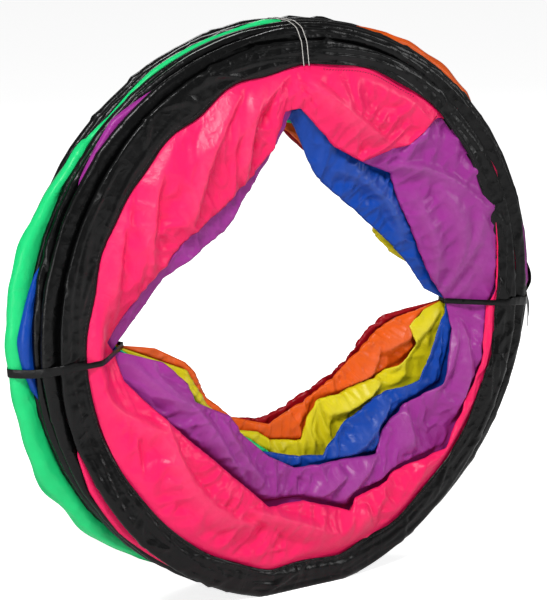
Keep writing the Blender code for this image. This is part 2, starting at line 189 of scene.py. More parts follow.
# Corners of the front folds' taut inner edges: angle, and radius as a share of the last hoop's
FOLD_SHARES = {
    "pink": (
        (0, 0.835), (12, 0.855), (20, 0.875), (27, 0.90), (46, 0.90), (49.6, 0.86), (50.6, 0.74),
        (55.9, 0.674), (64.1, 0.581), (77.1, 0.604), (89.9, 0.731), (94.9, 0.725), (100.4, 0.609),
        (110.8, 0.542), (121.9, 0.52), (145.2, 0.552), (165.8, 0.634), (181, 0.72), (192.8, 0.681),
        (199.7, 0.646), (214.9, 0.598), (240.4, 0.598), (256.3, 0.665), (269.6, 0.651), (285, 0.745),
        (287.4, 0.71), (296.2, 0.729), (303.2, 0.728), (317.8, 0.83), (341, 0.82), (356.4, 0.81),
    ),
    "purple": (
        (5.4, 0.577), (16.7, 0.54), (39.3, 0.545), (50, 0.595), (62.3, 0.57), (75, 0.608), (90.6, 0.735),
        (97.9, 0.61), (108.4, 0.516), (113.1, 0.487), (132.2, 0.431), (148.4, 0.473), (161.7, 0.558),
        (181.7, 0.70), (187.4, 0.58), (192.6, 0.535), (204.9, 0.478), (212.4, 0.491), (221.6, 0.455),
        (230.1, 0.432), (239.6, 0.462), (255.9, 0.513), (268.5, 0.557), (284, 0.575), (300.3, 0.64),
        (307.5, 0.594), (319.3, 0.594), (324, 0.627), (331.3, 0.69), (347.9, 0.69), (356, 0.64),
        (359, 0.602),
    ),
    "blue": (
        (0.6, 0.562), (14.1, 0.485), (25.7, 0.441), (53.2, 0.409), (63.4, 0.417), (79.1, 0.467),
        (84.9, 0.535), (91.5, 0.667), (268.2, 0.525), (282.1, 0.556), (294.2, 0.476), (305.6, 0.48),
        (317, 0.509), (328.2, 0.61), (342.1, 0.616), (351.6, 0.66), (355.5, 0.617),
    ),
    "green": (
        (60, 0.50), (75, 0.54), (87, 0.64), (270, 0.58), (285, 0.60), (300, 0.54), (318, 0.57),
        (330, 0.66), (345, 0.68),
    ),
    "yellow": (
        (10, 0.52), (20, 0.44), (33, 0.415), (45, 0.47), (60, 0.53), (75, 0.58), (88, 0.68),
        (203.8, 0.45), (222.1, 0.455), (242.7, 0.476), (254.3, 0.46), (261, 0.485), (276.5, 0.501),
        (279.7, 0.433), (287.1, 0.375), (302.1, 0.405), (319.9, 0.47), (330.6, 0.535), (338, 0.565),
        (345, 0.52), (352, 0.57),
    ),
    "orange": (
        (58, 0.47), (74, 0.50), (86, 0.58), (189.8, 0.542), (201.7, 0.437), (208.8, 0.419),
        (223.7, 0.437), (240.2, 0.442), (250.2, 0.434), (260.3, 0.435), (271.3, 0.397), (286.1, 0.364),
        (311.2, 0.351), (337.3, 0.392), (346.6, 0.455), (353.5, 0.62),
    ),
    "red": (
        (258.5, 0.423), (268.6, 0.392), (290, 0.35), (300, 0.345), (315, 0.355), (340, 0.38), (347, 0.42),
    ),
}
FOLD_GAP = 15
PANEL_STITCH_ANGLES = (58, 84)
PANEL_STITCH_INSET = 0.004
BLEND_MARGIN = 0.0006

# Corners that every panel shares where the ties pinch them, and those behind the upper left folds
PINCH_SHARES = ((185, 0.69), (356, 0.665))
PINCH_GAP = 4
BEHIND_SHARES = (
    (96, 0.67), (106, 0.58), (118, 0.54), (131, 0.49), (143, 0.51), (153, 0.55), (163, 0.60), (179, 0.71),
)

# Bulges between the hoops: angle, and reach from inside the bore, 0, to well outside the hoops, 1
BULGE_SHARES = {
    "pink": ((0, 0), (196, 0), (203, 0.54), (211, 0.66), (222, 0.71), (238, 0.66), (254, 0.58), (270, 0)),
    "purple": (
        (0, 0.72), (11, 0.76), (24, 0.70), (36, 0), (108, 0), (114, 0.58), (122, 0.77), (134, 0.85),
        (147, 0.78), (157, 0.60), (164, 0), (340, 0),
    ),
    "blue": (
        (5, 0.72), (18, 0.80), (33, 0.82), (47, 0), (80, 0), (98, 0.66), (112, 0.66), (122, 0), (152, 0),
        (159, 0.58), (167, 0.74), (180, 0.82), (189, 0.76), (197, 0.60), (204, 0),
    ),
    "green": (
        (82, 0), (92, 0.70), (108, 0.78), (122, 0.82), (134, 0.80), (146, 0.86), (160, 0.93), (170, 0.97),
        (185, 0.95), (205, 1.0), (222, 0.93), (240, 0.80), (254, 0.60), (262, 0),
    ),
    "yellow": ((0, 0), (180, 0)),
    "orange": (
        (25, 0.70), (42, 0.88), (60, 0.87), (73, 0.80), (88, 0), (320, 0), (342, 0.90), (355, 0.75),
    ),
    "red": ((12, 0), (180, 0), (332, 0), (344, 0.86), (354, 0.82)),
}

# Long folds across the walls: from an angle and radius share to another, and the fold's height share
LONG_FOLD_SHARES = {
    "pink": (
        (107, 0.84, 143, 0.55, 1.0), (99, 0.85, 115, 0.53, 0.9), (123, 0.87, 163, 0.60, 0.8),
        (93, 0.86, 119, 0.66, 0.7), (146, 0.81, 177, 0.72, 0.7), (81, 0.85, 67, 0.58, 0.6),
        (89, 0.84, 55, 0.68, 0.9), (77, 0.87, 49, 0.83, 0.5), (192, 0.80, 216, 0.58, 0.8),
        (203, 0.59, 255, 0.73, 1.0), (219, 0.75, 237, 0.72, 0.6), (247, 0.68, 280, 0.81, 0.9),
        (289, 0.74, 284, 0.95, 0.9), (312, 0.85, 300, 0.89, 0.5),
    ),
    "purple": (
        (357, 0.61, 26, 0.82, 1.0), (357, 0.61, 43, 0.60, 0.8), (357, 0.64, 37, 0.68, 1.0),
        (355, 0.68, 15, 0.82, 0.7), (54, 0.60, 21, 0.83, 0.8), (36, 0.71, 8, 0.75, 0.6),
        (49, 0.63, 48, 0.84, 0.5), (351, 0.71, 324, 0.66, 1.0), (351, 0.72, 324, 0.82, 0.8),
        (318, 0.60, 310, 0.74, 1.0), (301, 0.64, 282, 0.72, 0.9), (288, 0.63, 272, 0.69, 0.8),
        (208, 0.51, 249, 0.62, 0.8), (186, 0.67, 219, 0.48, 0.9), (226, 0.46, 259, 0.64, 0.7),
        (189, 0.58, 212, 0.49, 0.7),
    ),
    "blue": ((356, 0.64, 320, 0.56, 1.0), (318, 0.54, 285, 0.60, 0.8), (20, 0.47, 75, 0.50, 0.8)),
    "yellow": ((352, 0.64, 325, 0.52, 1.0), (320, 0.49, 290, 0.44, 1.0), (205, 0.47, 250, 0.50, 0.7)),
    "orange": ((352, 0.60, 330, 0.44, 1.0), (335, 0.42, 290, 0.42, 0.8), (195, 0.50, 240, 0.46, 0.8)),
}
LONG_FOLD_HEIGHT = 0.0115
LONG_FOLD_WIDTH = 0.015
BACK_FOLDS = 26

# Finishes, light and camera
COLOURS = {
    "pink": (0.94, 0.014, 0.125),
    "purple": (0.33, 0.032, 0.28),
    "blue": (0.004, 0.055, 0.36),
    "green": (0.015, 0.66, 0.20),
    "yellow": (0.70, 0.60, 0.008),
    "orange": (0.80, 0.11, 0.008),
    "red": (0.33, 0.004, 0.010),
}
WEAVE_HEIGHT = 0.00004
DRAWN_LINE_HEIGHT = 0.00005
WORN_PALENESS = 0.30
BLACK_TAPE = (0.0018, 0.0019, 0.0020)
FLOOR_GLOW = 0.80
ROOM_LIGHT = 0.12
GLOSSY_ROOM = 0.12
LIGHT_AIM = (0, 0, 0.25)
STUDIO_LIGHTS = (
    ("key", (-1.0, -1.3, 2.1), (0.7, 0.6), 45),
    ("side", (-2.0, -0.9, 0.5), (0.5, 1.0), 12),
    ("fill", (1.8, -1.4, 1.0), (0.8, 0.8), 12),
    ("back", (0.6, 1.8, 1.6), (1.0, 0.8), 16),
)
CAMERA_ANGLES = (math.radians(-31), math.radians(12.5))
CAMERA_DISTANCE = 2.32
CAMERA_LENS = 159.4
CAMERA_SHIFT = (-0.017, 0.004)


def smooth(share):
    share = np.clip(share, 0, 1)
    return share * share * (3 - 2 * share)


def wrap(angle):
    return (angle + math.pi) % TURN - math.pi


def around(values, angle):
    """Values at evenly spaced stations, read at any angle through a smooth closed curve."""
    count = len(values)
    place = (np.asarray(angle) / TURN * count) % count
    low = np.floor(place).astype(int)
    share = place - low
    a, b, c, d = (values[(low + k) % count] for k in (-1, 0, 1, 2))
    bend = (-a + 3 * b - 3 * c + d) * share**3 + (2 * a - 5 * b + 4 * c - d) * share**2 + (c - a) * share
    return b + bend / 2


def between(marks, angle):
    """A value read in straight steps between (angle in degrees, value) marks, all the way round."""
    turns, values = zip(*sorted(marks))
    return np.interp(np.degrees(angle) % 360, turns, values, period=360)


def taut(marks, angle):
    """A radius along straight lines between (angle in degrees, radius) corners, all the way round."""
    marks = sorted(marks)
    turns = np.radians([marks[-1][0] - 360, *(turn for turn, _ in marks), marks[0][0] + 360])
    radii = np.array([marks[-1][1], *(radius for _, radius in marks), marks[0][1]])
    angle = np.asarray(angle) % TURN
    after = np.clip(np.searchsorted(turns, angle), 1, len(turns) - 1)
    low, high = turns[after - 1], turns[after]
    first, second = radii[after - 1], radii[after]
    sides = first * np.sin(angle - low) + second * np.sin(high - angle)
    return first * second * np.sin(high - low) / sides


def degrees_apart(one, other):
    return abs((one - other + 180) % 360 - 180)


def full_turn(count):
    """Evenly spaced angles, once round."""
    return np.arange(count) * TURN / count


def polar(points, middle):
    """How far out from a middle points lie, and at which angle."""
    offset = points - middle
    return np.hypot(offset[..., 0], offset[..., 2]), np.arctan2(offset[..., 2], offset[..., 0])


def unit(vectors):
    return vectors / np.linalg.norm(vectors, axis=-1, keepdims=True)


def gaps(points, axis):
    """How far apart neighbouring points lie."""
    return np.linalg.norm(np.diff(points, axis=axis), axis=-1)


def placed(name, data):
    """A new object in the scene, at the origin."""
    obj = bpy.data.objects.new(name, data)
    bpy.context.scene.collection.objects.link(obj)
    return obj


def node_points(name):
    return np.array([vert.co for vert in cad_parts[name].data.vertices])


def measure_hoop(number):
    """A hoop's oval and its place along the tunnel by angle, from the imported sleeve."""
    low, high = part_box(f"sleeve_{number}")
    half_height = high.z / (1 + math.cos(TURN / STATIONS))
    centre = np.array([(low.x + high.x) / 2, 0, high.z - half_height])
    points = node_points(f"sleeve_{number}")
    station = np.round(polar(points, centre)[1] / TURN * STATIONS).astype(int) % STATIONS
    along = [points[station == k][:, 1] for k in range(STATIONS)]
    plane = np.array([(ys.min() + ys.max()) / 2 for ys in along])
    return {"centre": centre, "wide": (high.x - low.x) / 2, "high": half_height, "plane": plane}


hoops = [measure_hoop(number) for number in range(1, HOOPS + 1)]
full_radius = hoops[-1]["high"]
stack_middle = sum(hoop["centre"] for hoop in hoops) / HOOPS


def outward(angle):
    return np.stack([np.cos(angle), np.zeros_like(angle), np.sin(angle)], -1)


def set_out(middle, angle, radius):
    return middle + outward(angle) * radius[..., None]


def rim(hoop, angle):
    wide, high, floor = hoop["wide"], hoop["high"], hoop["centre"][2]
    oval = wide * high / np.hypot(high * np.cos(angle), wide * np.sin(angle))
    down = np.maximum(-np.sin(angle), 1e-6)
    return np.minimum(oval, np.where(np.sin(angle) < 0, floor / down, oval))


def plane(hoop, angle):
    return around(hoop["plane"], angle)


def mid_plane(bay, angle):
    return (plane(hoops[bay], angle) + plane(hoops[bay + 1], angle)) / 2


def both_rims(bay, angle):
    return rim(hoops[bay], angle), rim(hoops[bay + 1], angle)


def sleeve_depth(number, angle):
    """How far in a hoop's tape reaches. The two end hems are deep, and the front one's edge is wavy."""
    if number == 0:
        wave = 1 + HEM_WAVE * ripple(SEED + 90, angle, 0 * angle, (4, 22), (0, 0), 12)
        return HEM_DEPTH * between(FRONT_HEM_SHARES, angle) * wave
    if number == 1:
        return CASING_DEPTH * between(SECOND_CASING_SHARES, angle)
    return np.full_like(angle, HEM_DEPTH if number == HOOPS - 1 else CASING_DEPTH)


def measure_panel(bay):
    """A panel's middle and the corners of its front fold: those of the photographed side first, and
    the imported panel's where that side doesn't show them."""
    middle = (hoops[bay]["centre"] + hoops[bay + 1]["centre"]) / 2
    radius, turn = polar(node_points(f"panel_{bay + 1}_{PANELS[bay]}"), middle)
    shares = FOLD_SHARES[PANELS[bay]] + (BEHIND_SHARES if bay > 1 else ())
    corners = [(angle, share * full_radius) for angle, share in shares]
    seen = [angle for angle, _ in corners]
    for angle in range(0, 360, 360 // STATIONS):
        if min(degrees_apart(angle, other) for other in seen) > FOLD_GAP:
            near = np.abs(wrap(turn - math.radians(angle))) < math.radians(0.05)
            corners.append((angle, radius[near].min()))
    for pinch, share in PINCH_SHARES:
        close = [corner for corner in corners if degrees_apart(corner[0], pinch) < PINCH_GAP]
        corners = [corner for corner in corners if corner not in close]
        corners.append((pinch, max(share * full_radius, *(reach for _, reach in close), 0)))
    return {"middle": middle, "corners": corners}


bays = [measure_panel(bay) for bay in range(len(PANELS))]


def fold_radius(bay, angle):
    return taut(bays[bay]["corners"], angle)


def tip_radius(bay, angle):
    """How far out a panel's ridge reaches between its two folds."""
    rims = both_rims(bay, angle)
    ridge = fold_radius(bay, angle) + REAR_FOLD_STEP + RIDGE_RISE
    inner = np.minimum(ridge, np.minimum(*rims) - HIDDEN_TIP_INSET)
    outer = np.maximum(*rims) + BULGE_REACH
    return inner + (outer - inner) * between(BULGE_SHARES[PANELS[bay]], angle)


def ripple(seed, angle, along, turns, waves, count=24):
    """A smooth field from about -1 to 1 that closes round the ring."""
    rng = np.random.default_rng(seed)
    total = np.zeros(np.broadcast(angle, along).shape)
    for _ in range(count):
        turn = rng.integers(turns[0], turns[1] + 1)
        wave = rng.uniform(*waves)
        total += np.cos(turn * angle + wave * TURN * along + rng.uniform(0, TURN))
    return total / math.sqrt(count)


def ridges(seed, angle, along, turns, waves, count=24):
    """Sharp winding crests from 0 to 1 with smooth hollows between them, as crisp nylon has."""
    low = ripple(seed, angle, along, turns, waves, count)
    return np.clip(1 - np.abs(low), 0, 1) ** 1.6


def crease(start, way, length, height, width, bow, lean, spread=1.0):
    """A crease as it is laid out over the ring: start is an angle and a radius, and way is its direction,
    0 outwards and a quarter turn along the ring. Spread is its width at the start, as a share."""
    turn, radius = start
    end = (turn + length * math.sin(way) / CHART_RADIUS, radius + length * math.cos(way))
    return (turn, radius, *end, height, width, bow, lean, spread)


def crease_heights(turn, radius, creases):
    """How high a set of sharp creases stands at each point. Where they meet, the highest one rules."""
    total = np.zeros(turn.shape)
    for turn_0, radius_0, turn_1, radius_1, height, width, bow, lean, spread in creases:
        across = (turn_1 - turn_0) * CHART_RADIUS
        outwards = radius_1 - radius_0
        length = math.hypot(across, outwards)
        x = wrap(turn - (turn_0 + turn_1) / 2) * CHART_RADIUS
        y = radius - (radius_0 + radius_1) / 2
        share = (x * across + y * outwards) / length**2 + 0.5
        near = (share > 0) & (share < 1) & (np.abs(x) < length)
        u = share[near]
        aside = (y[near] * across - x[near] * outwards) / length - bow * 4 * u * (1 - u)
        widths = width * (spread + (1 - spread) * u) * np.where(aside > 0, 1 + lean, 1 - lean)
        tent = np.maximum(1 - np.abs(aside) / widths, 0)
        taper = np.minimum(1, 2.6 * np.sqrt(u * (1 - u)) * (1 - 0.35 * u))
        total[near] += (height * taper * tent) ** CREST_POWER
    return total ** (1 / CREST_POWER)


def gathered(angle):
    """The angle that a column of cloth has at its fold, drawn towards the ties."""
    drawn = angle.copy()
    for pinch in TIE_ANGLES:
        away = wrap(angle - pinch)
        drawn = drawn - GATHER_SHARE * away * np.exp(-((away / GATHER_SPAN) ** 2))
    return drawn


def wall_creases(bay, side):
    """The creases of one wall: fans from the ties and the top gather, more from the corners of its taut
    edge, the long folds, and loose ones."""
    rng = np.random.default_rng(SEED + 10 * bay + (5 if side > 0 else 0))
    step = REAR_FOLD_STEP if side > 0 else 0
    last = bay == len(PANELS) - 1
    for pinch in TIE_ANGLES:
        root = float(fold_radius(bay, pinch)) + step
        for way in np.radians(np.linspace(-86, 86, 15) + rng.uniform(-5, 5, 15)):
            length = (0.035 + 0.075 * abs(math.sin(way)) ** 2) * rng.uniform(0.6, 1.2)
            start = (pinch + rng.normal(0, 0.02), root + rng.uniform(0, 0.008))
            height = rng.uniform(*TIE_FAN_HEIGHTS)
            bow = -0.12 * length * math.sin(way) + rng.normal(0, 0.06) * length
            yield crease(start, way, length, height, rng.uniform(*TIE_FAN_WIDTHS), bow, 0.4, 0.35)
    if bay == 0 or side > 0:
        for way in np.radians(np.linspace(115, 245, 11) + rng.uniform(-5, 5, 11)):
            length = rng.uniform(0.035, 0.085)
            start = (TOP_ANGLE + 0.035 + rng.normal(0, 0.01), full_radius * 0.84)
            height = rng.uniform(*TOP_FAN_HEIGHTS)
            yield crease(start, way, length, height, rng.uniform(*TOP_FAN_WIDTHS), 0, 0.3, 0.35)
    for angle, radius in bays[bay]["corners"]:
        for _ in range(2):
            way = rng.uniform(-1.1, 1.1)
            length = rng.uniform(0.025, 0.065)
            start = (math.radians(angle) + rng.normal(0, 0.01), radius + step)
            height = rng.uniform(*CORNER_HEIGHTS)
            width = rng.uniform(*CORNER_WIDTHS)
            yield crease(start, way, length, height, width, rng.normal(0, 0.05) * length, 0.4, 0.5)
    if side < 0:
        for turn_0, share_0, turn_1, share_1, height in LONG_FOLD_SHARES.get(PANELS[bay], ()):
            start = (math.radians(turn_0), share_0 * full_radius)
            across = wrap(math.radians(turn_1 - turn_0)) * CHART_RADIUS
            outwards = (share_1 - share_0) * full_radius
            way, length = math.atan2(across, outwards), math.hypot(across, outwards)
            bow = rng.normal(0, 0.05) * length
            yield crease(start, way, length, LONG_FOLD_HEIGHT * height, LONG_FOLD_WIDTH, bow, 0.35, 0.6)
    if side > 0 and last:
        turns = np.linspace(0, TURN, BACK_FOLDS, endpoint=False)
        for turn in turns + rng.uniform(-0.1, 0.1, BACK_FOLDS):
            root = float(fold_radius(bay, turn)) + step
            length = rng.uniform(0.6, 1.1) * (full_radius * 0.9 - root)
            start = (turn, root + rng.uniform(0, 0.01))
            height = LONG_FOLD_HEIGHT * rng.uniform(0.6, 1.2)
            way = rng.uniform(-0.7, 0.7)
            bow = rng.normal(0, 0.08) * length
            yield crease(start, way, length, height, LONG_FOLD_WIDTH, bow, 0.4, 0.7)
    for _ in range(120 if bay in (0, 1) or last else 60):
        angle = rng.uniform(0, TURN)
        root = float(fold_radius(bay, angle)) + step
        radius = root + rng.uniform(0, 1) * (full_radius * 0.9 - root)
        length = rng.uniform(0.020, 0.075)
        way = rng.uniform(-math.pi, math.pi)
        height = rng.uniform(*LOOSE_HEIGHTS) * (0.5 + length / 0.075)
        width = rng.uniform(*LOOSE_WIDTHS)
        bow = rng.normal(0, 0.08) * length
        yield crease((angle, radius), way, length, height, width, bow, 0.5, 0.8)


def even_out(values, reach):
    """A running mean round the ring."""
    window = np.ones(2 * reach + 1) / (2 * reach + 1)
    return np.convolve(np.concatenate([values[-reach:], values, values[:reach]]), window, "valid")


def wall_band(bay, side):
    """One wall of a panel, from its hoop in to the fold and a little way back up the ridge.
    Side is -1 for the front wall and 1 for the rear one."""
    rows = (FRONT_ROWS if side < 0 else REAR_ROWS)[PANELS[bay]]
    near = bay if side < 0 else bay + 1
    middle = bays[bay]["middle"]
    angle = full_turn(COLUMNS)
    drawn = gathered(angle)
    step = REAR_FOLD_STEP if side > 0 else 0
    fold = fold_radius(bay, drawn) + step
    held = rim(hoops[near], angle) - sleeve_depth(near, angle) + SEAM_GRIP
    edge = set_out(hoops[near]["centre"], angle, held)
    fold_at = set_out(middle, drawn, fold)
    wall = np.linalg.norm(fold_at - edge, axis=-1)

    # Most rows lie where the wall shows, from the nearest fold that covers it in to its own
    others = list(range(bay)) if side < 0 else list(range(bay + 1, len(PANELS)))
    cover = held.copy()
    for other in others:
        cover = np.minimum(cover, fold_radius(other, angle) + step + COVERED_EDGE)
    hidden = np.clip((held - cover) / wall, (SEAM_GRIP + 0.001) / wall, 0.7)
    hidden = np.maximum(even_out(hidden, COLUMNS_EVENED), SEAM_GRIP / wall)
    hidden_rows = HIDDEN_WALL_ROWS if others else 2
    row = np.arange(rows)
    seen = np.clip((row - hidden_rows) / (rows - 1 - hidden_rows), 0, 1)
    share = np.minimum(row / hidden_rows, 1)[None, :] * hidden[:, None]
    share = share + seen[None, :] * (1 - hidden)[:, None]
    points = edge[:, None] * (1 - share[..., None]) + fold_at[:, None] * share[..., None]
    tip = tip_radius(bay, drawn)
    back = (np.arange(1, RIDGE_ROWS + 1) / RIDGE_ROWS) ** 1.5
    ridge_end = fold + np.minimum(RIDGE_START, 0.8 * (tip - fold))
    ridge = fold[:, None] + (ridge_end - fold)[:, None] * back[None, :]
    ridge_at = middle + outward(drawn)[:, None] * ridge[..., None]
    points = np.concatenate([points, ridge_at], 1)

    radius, turn = polar(points, middle)
    wall_y = plane(hoops[near], turn) - side * SEAM_OFFSET
    ridge_y = mid_plane(bay, turn) + side * RIDGE_OFFSET * 2.5
    mix = np.clip((np.arange(rows + RIDGE_ROWS) - rows + 2.5) / 3, 0, 1)[None, :]
    points[..., 1] = wall_y * (1 - mix) + ridge_y * mix

    # How far the wall may swell past its hoop's plane, where no other panel lies against it
    from_edge = np.linalg.norm((points - edge[:, None])[..., [0, 2]], axis=-1)
    room = np.minimum(PUFF_LIMIT, 0.8 * np.maximum(from_edge - SEAM_GRIP - 0.0005, 0))
    outermost = cad_box[0][1] - PROUD_LIMIT if side < 0 else cad_box[1][1] + PROUD_LIMIT
    room = np.minimum(room, np.abs(outermost - wall_y))
    for other in others:
        beside = plane(hoops[other + 1 if side < 0 else other], turn)
        gap = np.maximum(np.abs(wall_y - beside) - LAYER_GAP, 0)
        clear = smooth((fold_radius(other, turn) + step - COVER_MARGIN - radius) / COVER_BLEND)
        room = np.minimum(room, gap + PUFF_LIMIT * clear)

    # The cloth's own form: a slack billow, sharp creases and fine pleats
    creases = crease_heights(turn, radius, wall_creases(bay, side))
    seed = SEED + 40 * bay + (20 if side > 0 else 0)
    far_out = radius / full_radius
    slack = 0.6 + 0.6 * ripple(seed + 1, turn, far_out, (2, 9), (-1, 1), 14)
    depth_share = np.clip(from_edge / wall[:, None], 0, 1)
    billow = BILLOW * np.clip(slack, 0, 1.6) * np.sin(math.pi * depth_share**0.9) ** 0.8
    facets = FACETS * ridges(seed + 4, turn, far_out, (4, 15), (-3, 3), 10)
    pleats = PLEATS * ridges(seed + 2, turn, far_out, (14, 46), (-8, 8))
    crumple = FINE_CRUMPLE * ripple(seed + 3, turn, far_out, (50, 120), (-16, 16))
    raw = np.maximum(billow + np.maximum(creases, facets) + 0.5 * creases + pleats + crumple, 0)
    raw = raw * (1 - FOLD_TAPER * smooth((depth_share - 0.72) / 0.28))
    swell = room * np.tanh(raw / np.maximum(room, 1e-5))
    back_share = np.concatenate([np.zeros(rows), back])
    at_fold = swell[:, rows - 1 : rows]
    swell = np.where(back_share[None, :] > 0, at_fold * (1 - smooth(back_share[None, :] * 1.6)), swell)
    points[..., 1] += side * swell
    crest = np.clip((creases + pleats) / WORN_CREST, 0, 1) ** 2 * np.clip(room / 0.004, 0, 1)
    return points, crest


def bag_creases(bay):
    """The creases of the cloth that bulges out between two hoops."""
    rng = np.random.default_rng(SEED + 500 + bay)
    for _ in range(220):
        way = rng.normal(0, 0.5) + rng.choice((0.35, 0.5, 0.65)) * math.pi * rng.choice((-1, 1))
        start = (rng.uniform(0, TURN), full_radius + rng.uniform(-0.010, 0.016))
        height = rng.uniform(*BAG_CREASE_HEIGHTS)
        width = rng.uniform(*BAG_CREASE_WIDTHS)
        yield crease(start, way, rng.uniform(0.020, 0.070), height, width, 0, 0.4, 0.7)


def ridge_band(bay, front, rear):
    """The middle of a panel: from the front wall's ridge out to the tip and back to the rear wall's, with
    two hidden pleats on each side that take up what its folds leave over of the cloth's length. Where the
    tip lies past the hoops, the cloth bulges out between them as a soft flat bag."""
    middle = bays[bay]["middle"]
    angle = full_turn(COLUMNS)
    drawn = gathered(angle)
    rims = both_rims(bay, angle)
    edge = np.maximum(*rims)
    tip = tip_radius(bay, angle)
    reach = np.maximum(tip - edge, 0)
    half_bag = np.minimum(0.40 * reach, BAG_HALF_WIDTH)
    creases = list(bag_creases(bay))
    gone = sum(gaps(band, 1).sum(1) for band in (front, rear))
    starts = [np.linalg.norm((band[:, -1] - middle)[:, [0, 2]], axis=-1) for band in (front, rear)]
    spare = np.maximum(PLEATED_LENGTH - gone - 2 * tip + starts[0] + starts[1], 0) / 8
    limit = np.minimum(*rims) - between(PLEAT_INSETS, angle)
    rows = []
    for side, start in zip((-1, 1), starts):
        low = fold_radius(bay, drawn) + PLEAT_RISE
        high = np.minimum(start + np.maximum(spare - start + low, 0), np.maximum(limit, start))
        bottom = np.maximum(high - spare, low)
        knee = np.minimum(edge - 0.004, start + 0.5 * (tip - start))
        marks = [(start, high, 1.0, 2.2), (high, bottom, 1.0, 1.95)]
        marks += [(bottom, high, 1.0, 1.7), (high, bottom, 1.0, 1.45)]
        marks += [(bottom, knee, k / HIDDEN_ROWS, 1.3) for k in range(1, HIDDEN_ROWS + 1)]
        marks += [(knee, tip, 1 - (1 - k / BULGE_ROWS) ** 1.4, 1.0) for k in range(1, BULGE_ROWS)]
        made = []
        for first, last, share, layer in marks:
            radius = first + (last - first) * share
            past = np.clip((radius - edge) / np.maximum(reach, 1e-4), 0, 1) * (reach > 0)
            loose = smooth((radius - start) / np.maximum(edge - start, 1e-4))
            turn = drawn + (angle - drawn) * loose
            fine = crease_heights(turn, radius, creases) * np.sin(math.pi * past) ** 0.5
            bag = half_bag * np.sin(math.pi * past) ** 0.7 + fine * (reach > 0.002)
            place = set_out(middle, turn, radius)
            place[:, 1] = mid_plane(bay, turn) + side * (RIDGE_OFFSET * layer + bag)
            made.append(place)
        rows.append(made)
    turn = drawn + (angle - drawn) * smooth(tip / edge)
    wave = ripple(SEED + 60 + bay, angle, 0 * angle, (8, 40), (0, 0))
    uneven = UNEVEN_TIP * wave * (reach > 0.004)
    top = set_out(middle, turn, tip + uneven)
    top[:, 1] = mid_plane(bay, turn)
    return np.stack(rows[0] + [top] + rows[1][::-1], 1)


def squeeze(points):
    """Draw the bundle together along Y where the ties pinch the folds."""
    reach, turn = polar(points, stack_middle)
    front = np.minimum(plane(hoops[0], turn), plane(hoops[1], turn) - SQUEEZE_FRONT_GAP)
    middle = (front + plane(hoops[-1], turn)) / 2
    share = np.zeros(points.shape[:-1])
    for pinch in TIE_ANGLES:
        spot = stack_middle + outward(np.array(pinch)) * fold_radius(3, pinch)
        away = np.linalg.norm((points - spot)[..., [0, 2]], axis=-1)
        share = np.maximum(share, SQUEEZE_SHARE * np.exp(-((away / SQUEEZE_REACH) ** 2)))
    seam = rim(hoops[0], turn) - HEM_DEPTH - SQUEEZE_INSET
    share = share * smooth((seam - reach) / SQUEEZE_FADE)
    squeezed = points.copy()
    squeezed[..., 1] = middle + (points[..., 1] - middle) * (1 - share)
    return squeezed


def shape_panel(bay):
    front, front_crest = wall_band(bay, -1)
    rear, rear_crest = wall_band(bay, 1)
    middle = ridge_band(bay, front, rear)
    crest = np.concatenate([front_crest, np.zeros(middle.shape[:2]), rear_crest[:, ::-1]], 1)
    points = squeeze(np.concatenate([front, middle, rear[:, ::-1]], 1))
    points[..., 2] = np.maximum(points[..., 2], CLOTH_THICKNESS)
    return points, crest


def sleeve_creases(number):
    """Creases of a hoop's tape. The radius is the way round the tape: 0 on the rim, less on its front leg
    and more on its rear leg."""
    rng = np.random.default_rng(SEED + 200 + number)
    end = number in (0, HOOPS - 1)
    deep = HEM_DEPTH if end else CASING_DEPTH
    tall = 1.0 if end else 0.7
    for _ in range(150 if end else 90):
        start = (rng.uniform(0, TURN), rng.uniform(-deep, deep))
        way = rng.choice((-1, 1)) * math.pi / 2 + rng.normal(0, 0.09)
        height = rng.uniform(*TAPE_FOLD_HEIGHTS) * tall
        length = rng.uniform(0.04, 0.16)
        yield crease(start, way, length, height, rng.uniform(*TAPE_FOLD_WIDTHS), 0, 0.4)
    for _ in range(110 if end else 70):
        start = (rng.uniform(0, TURN), rng.uniform(-deep, deep))
        way = rng.choice((-1, 1)) * rng.uniform(0.5, 1.3)
        height = rng.uniform(*TAPE_SLANT_HEIGHTS) * tall
        length = rng.uniform(0.016, 0.045)
        yield crease(start, way, length, height, rng.uniform(*TAPE_SLANT_WIDTHS), 0, 0.5)
    for _ in range(300 if end else 0):
        start = (rng.uniform(0, TURN), rng.choice((-1, 1)) * deep)
        way = (math.pi if start[1] > 0 else 0) + rng.normal(0, 0.3)
        height = rng.uniform(*SEAM_PUCKER_HEIGHTS)
        length = rng.uniform(0.005, 0.013)
        yield crease(start, way, length, height, rng.uniform(*SEAM_PUCKER_WIDTHS), 0, 0, 1.2)


def sleeve_fullness(number, side, angle):
    """How far a hoop's tape puffs towards the next hoop, where no cloth bulges out between them."""
    bay = number if side > 0 else number - 1
    if not 0 <= bay < len(PANELS):
        return np.zeros_like(angle)
    gap = np.abs(plane(hoops[number + side], angle) - plane(hoops[number], angle)) / 2 - SLEEVE_GAP
    shut = 1 - smooth(between(BULGE_SHARES[PANELS[bay]], angle) / 0.5)
    return np.clip(gap - SLEEVE_HALF_WIDTH, 0, SLEEVE_FULLNESS) * shut


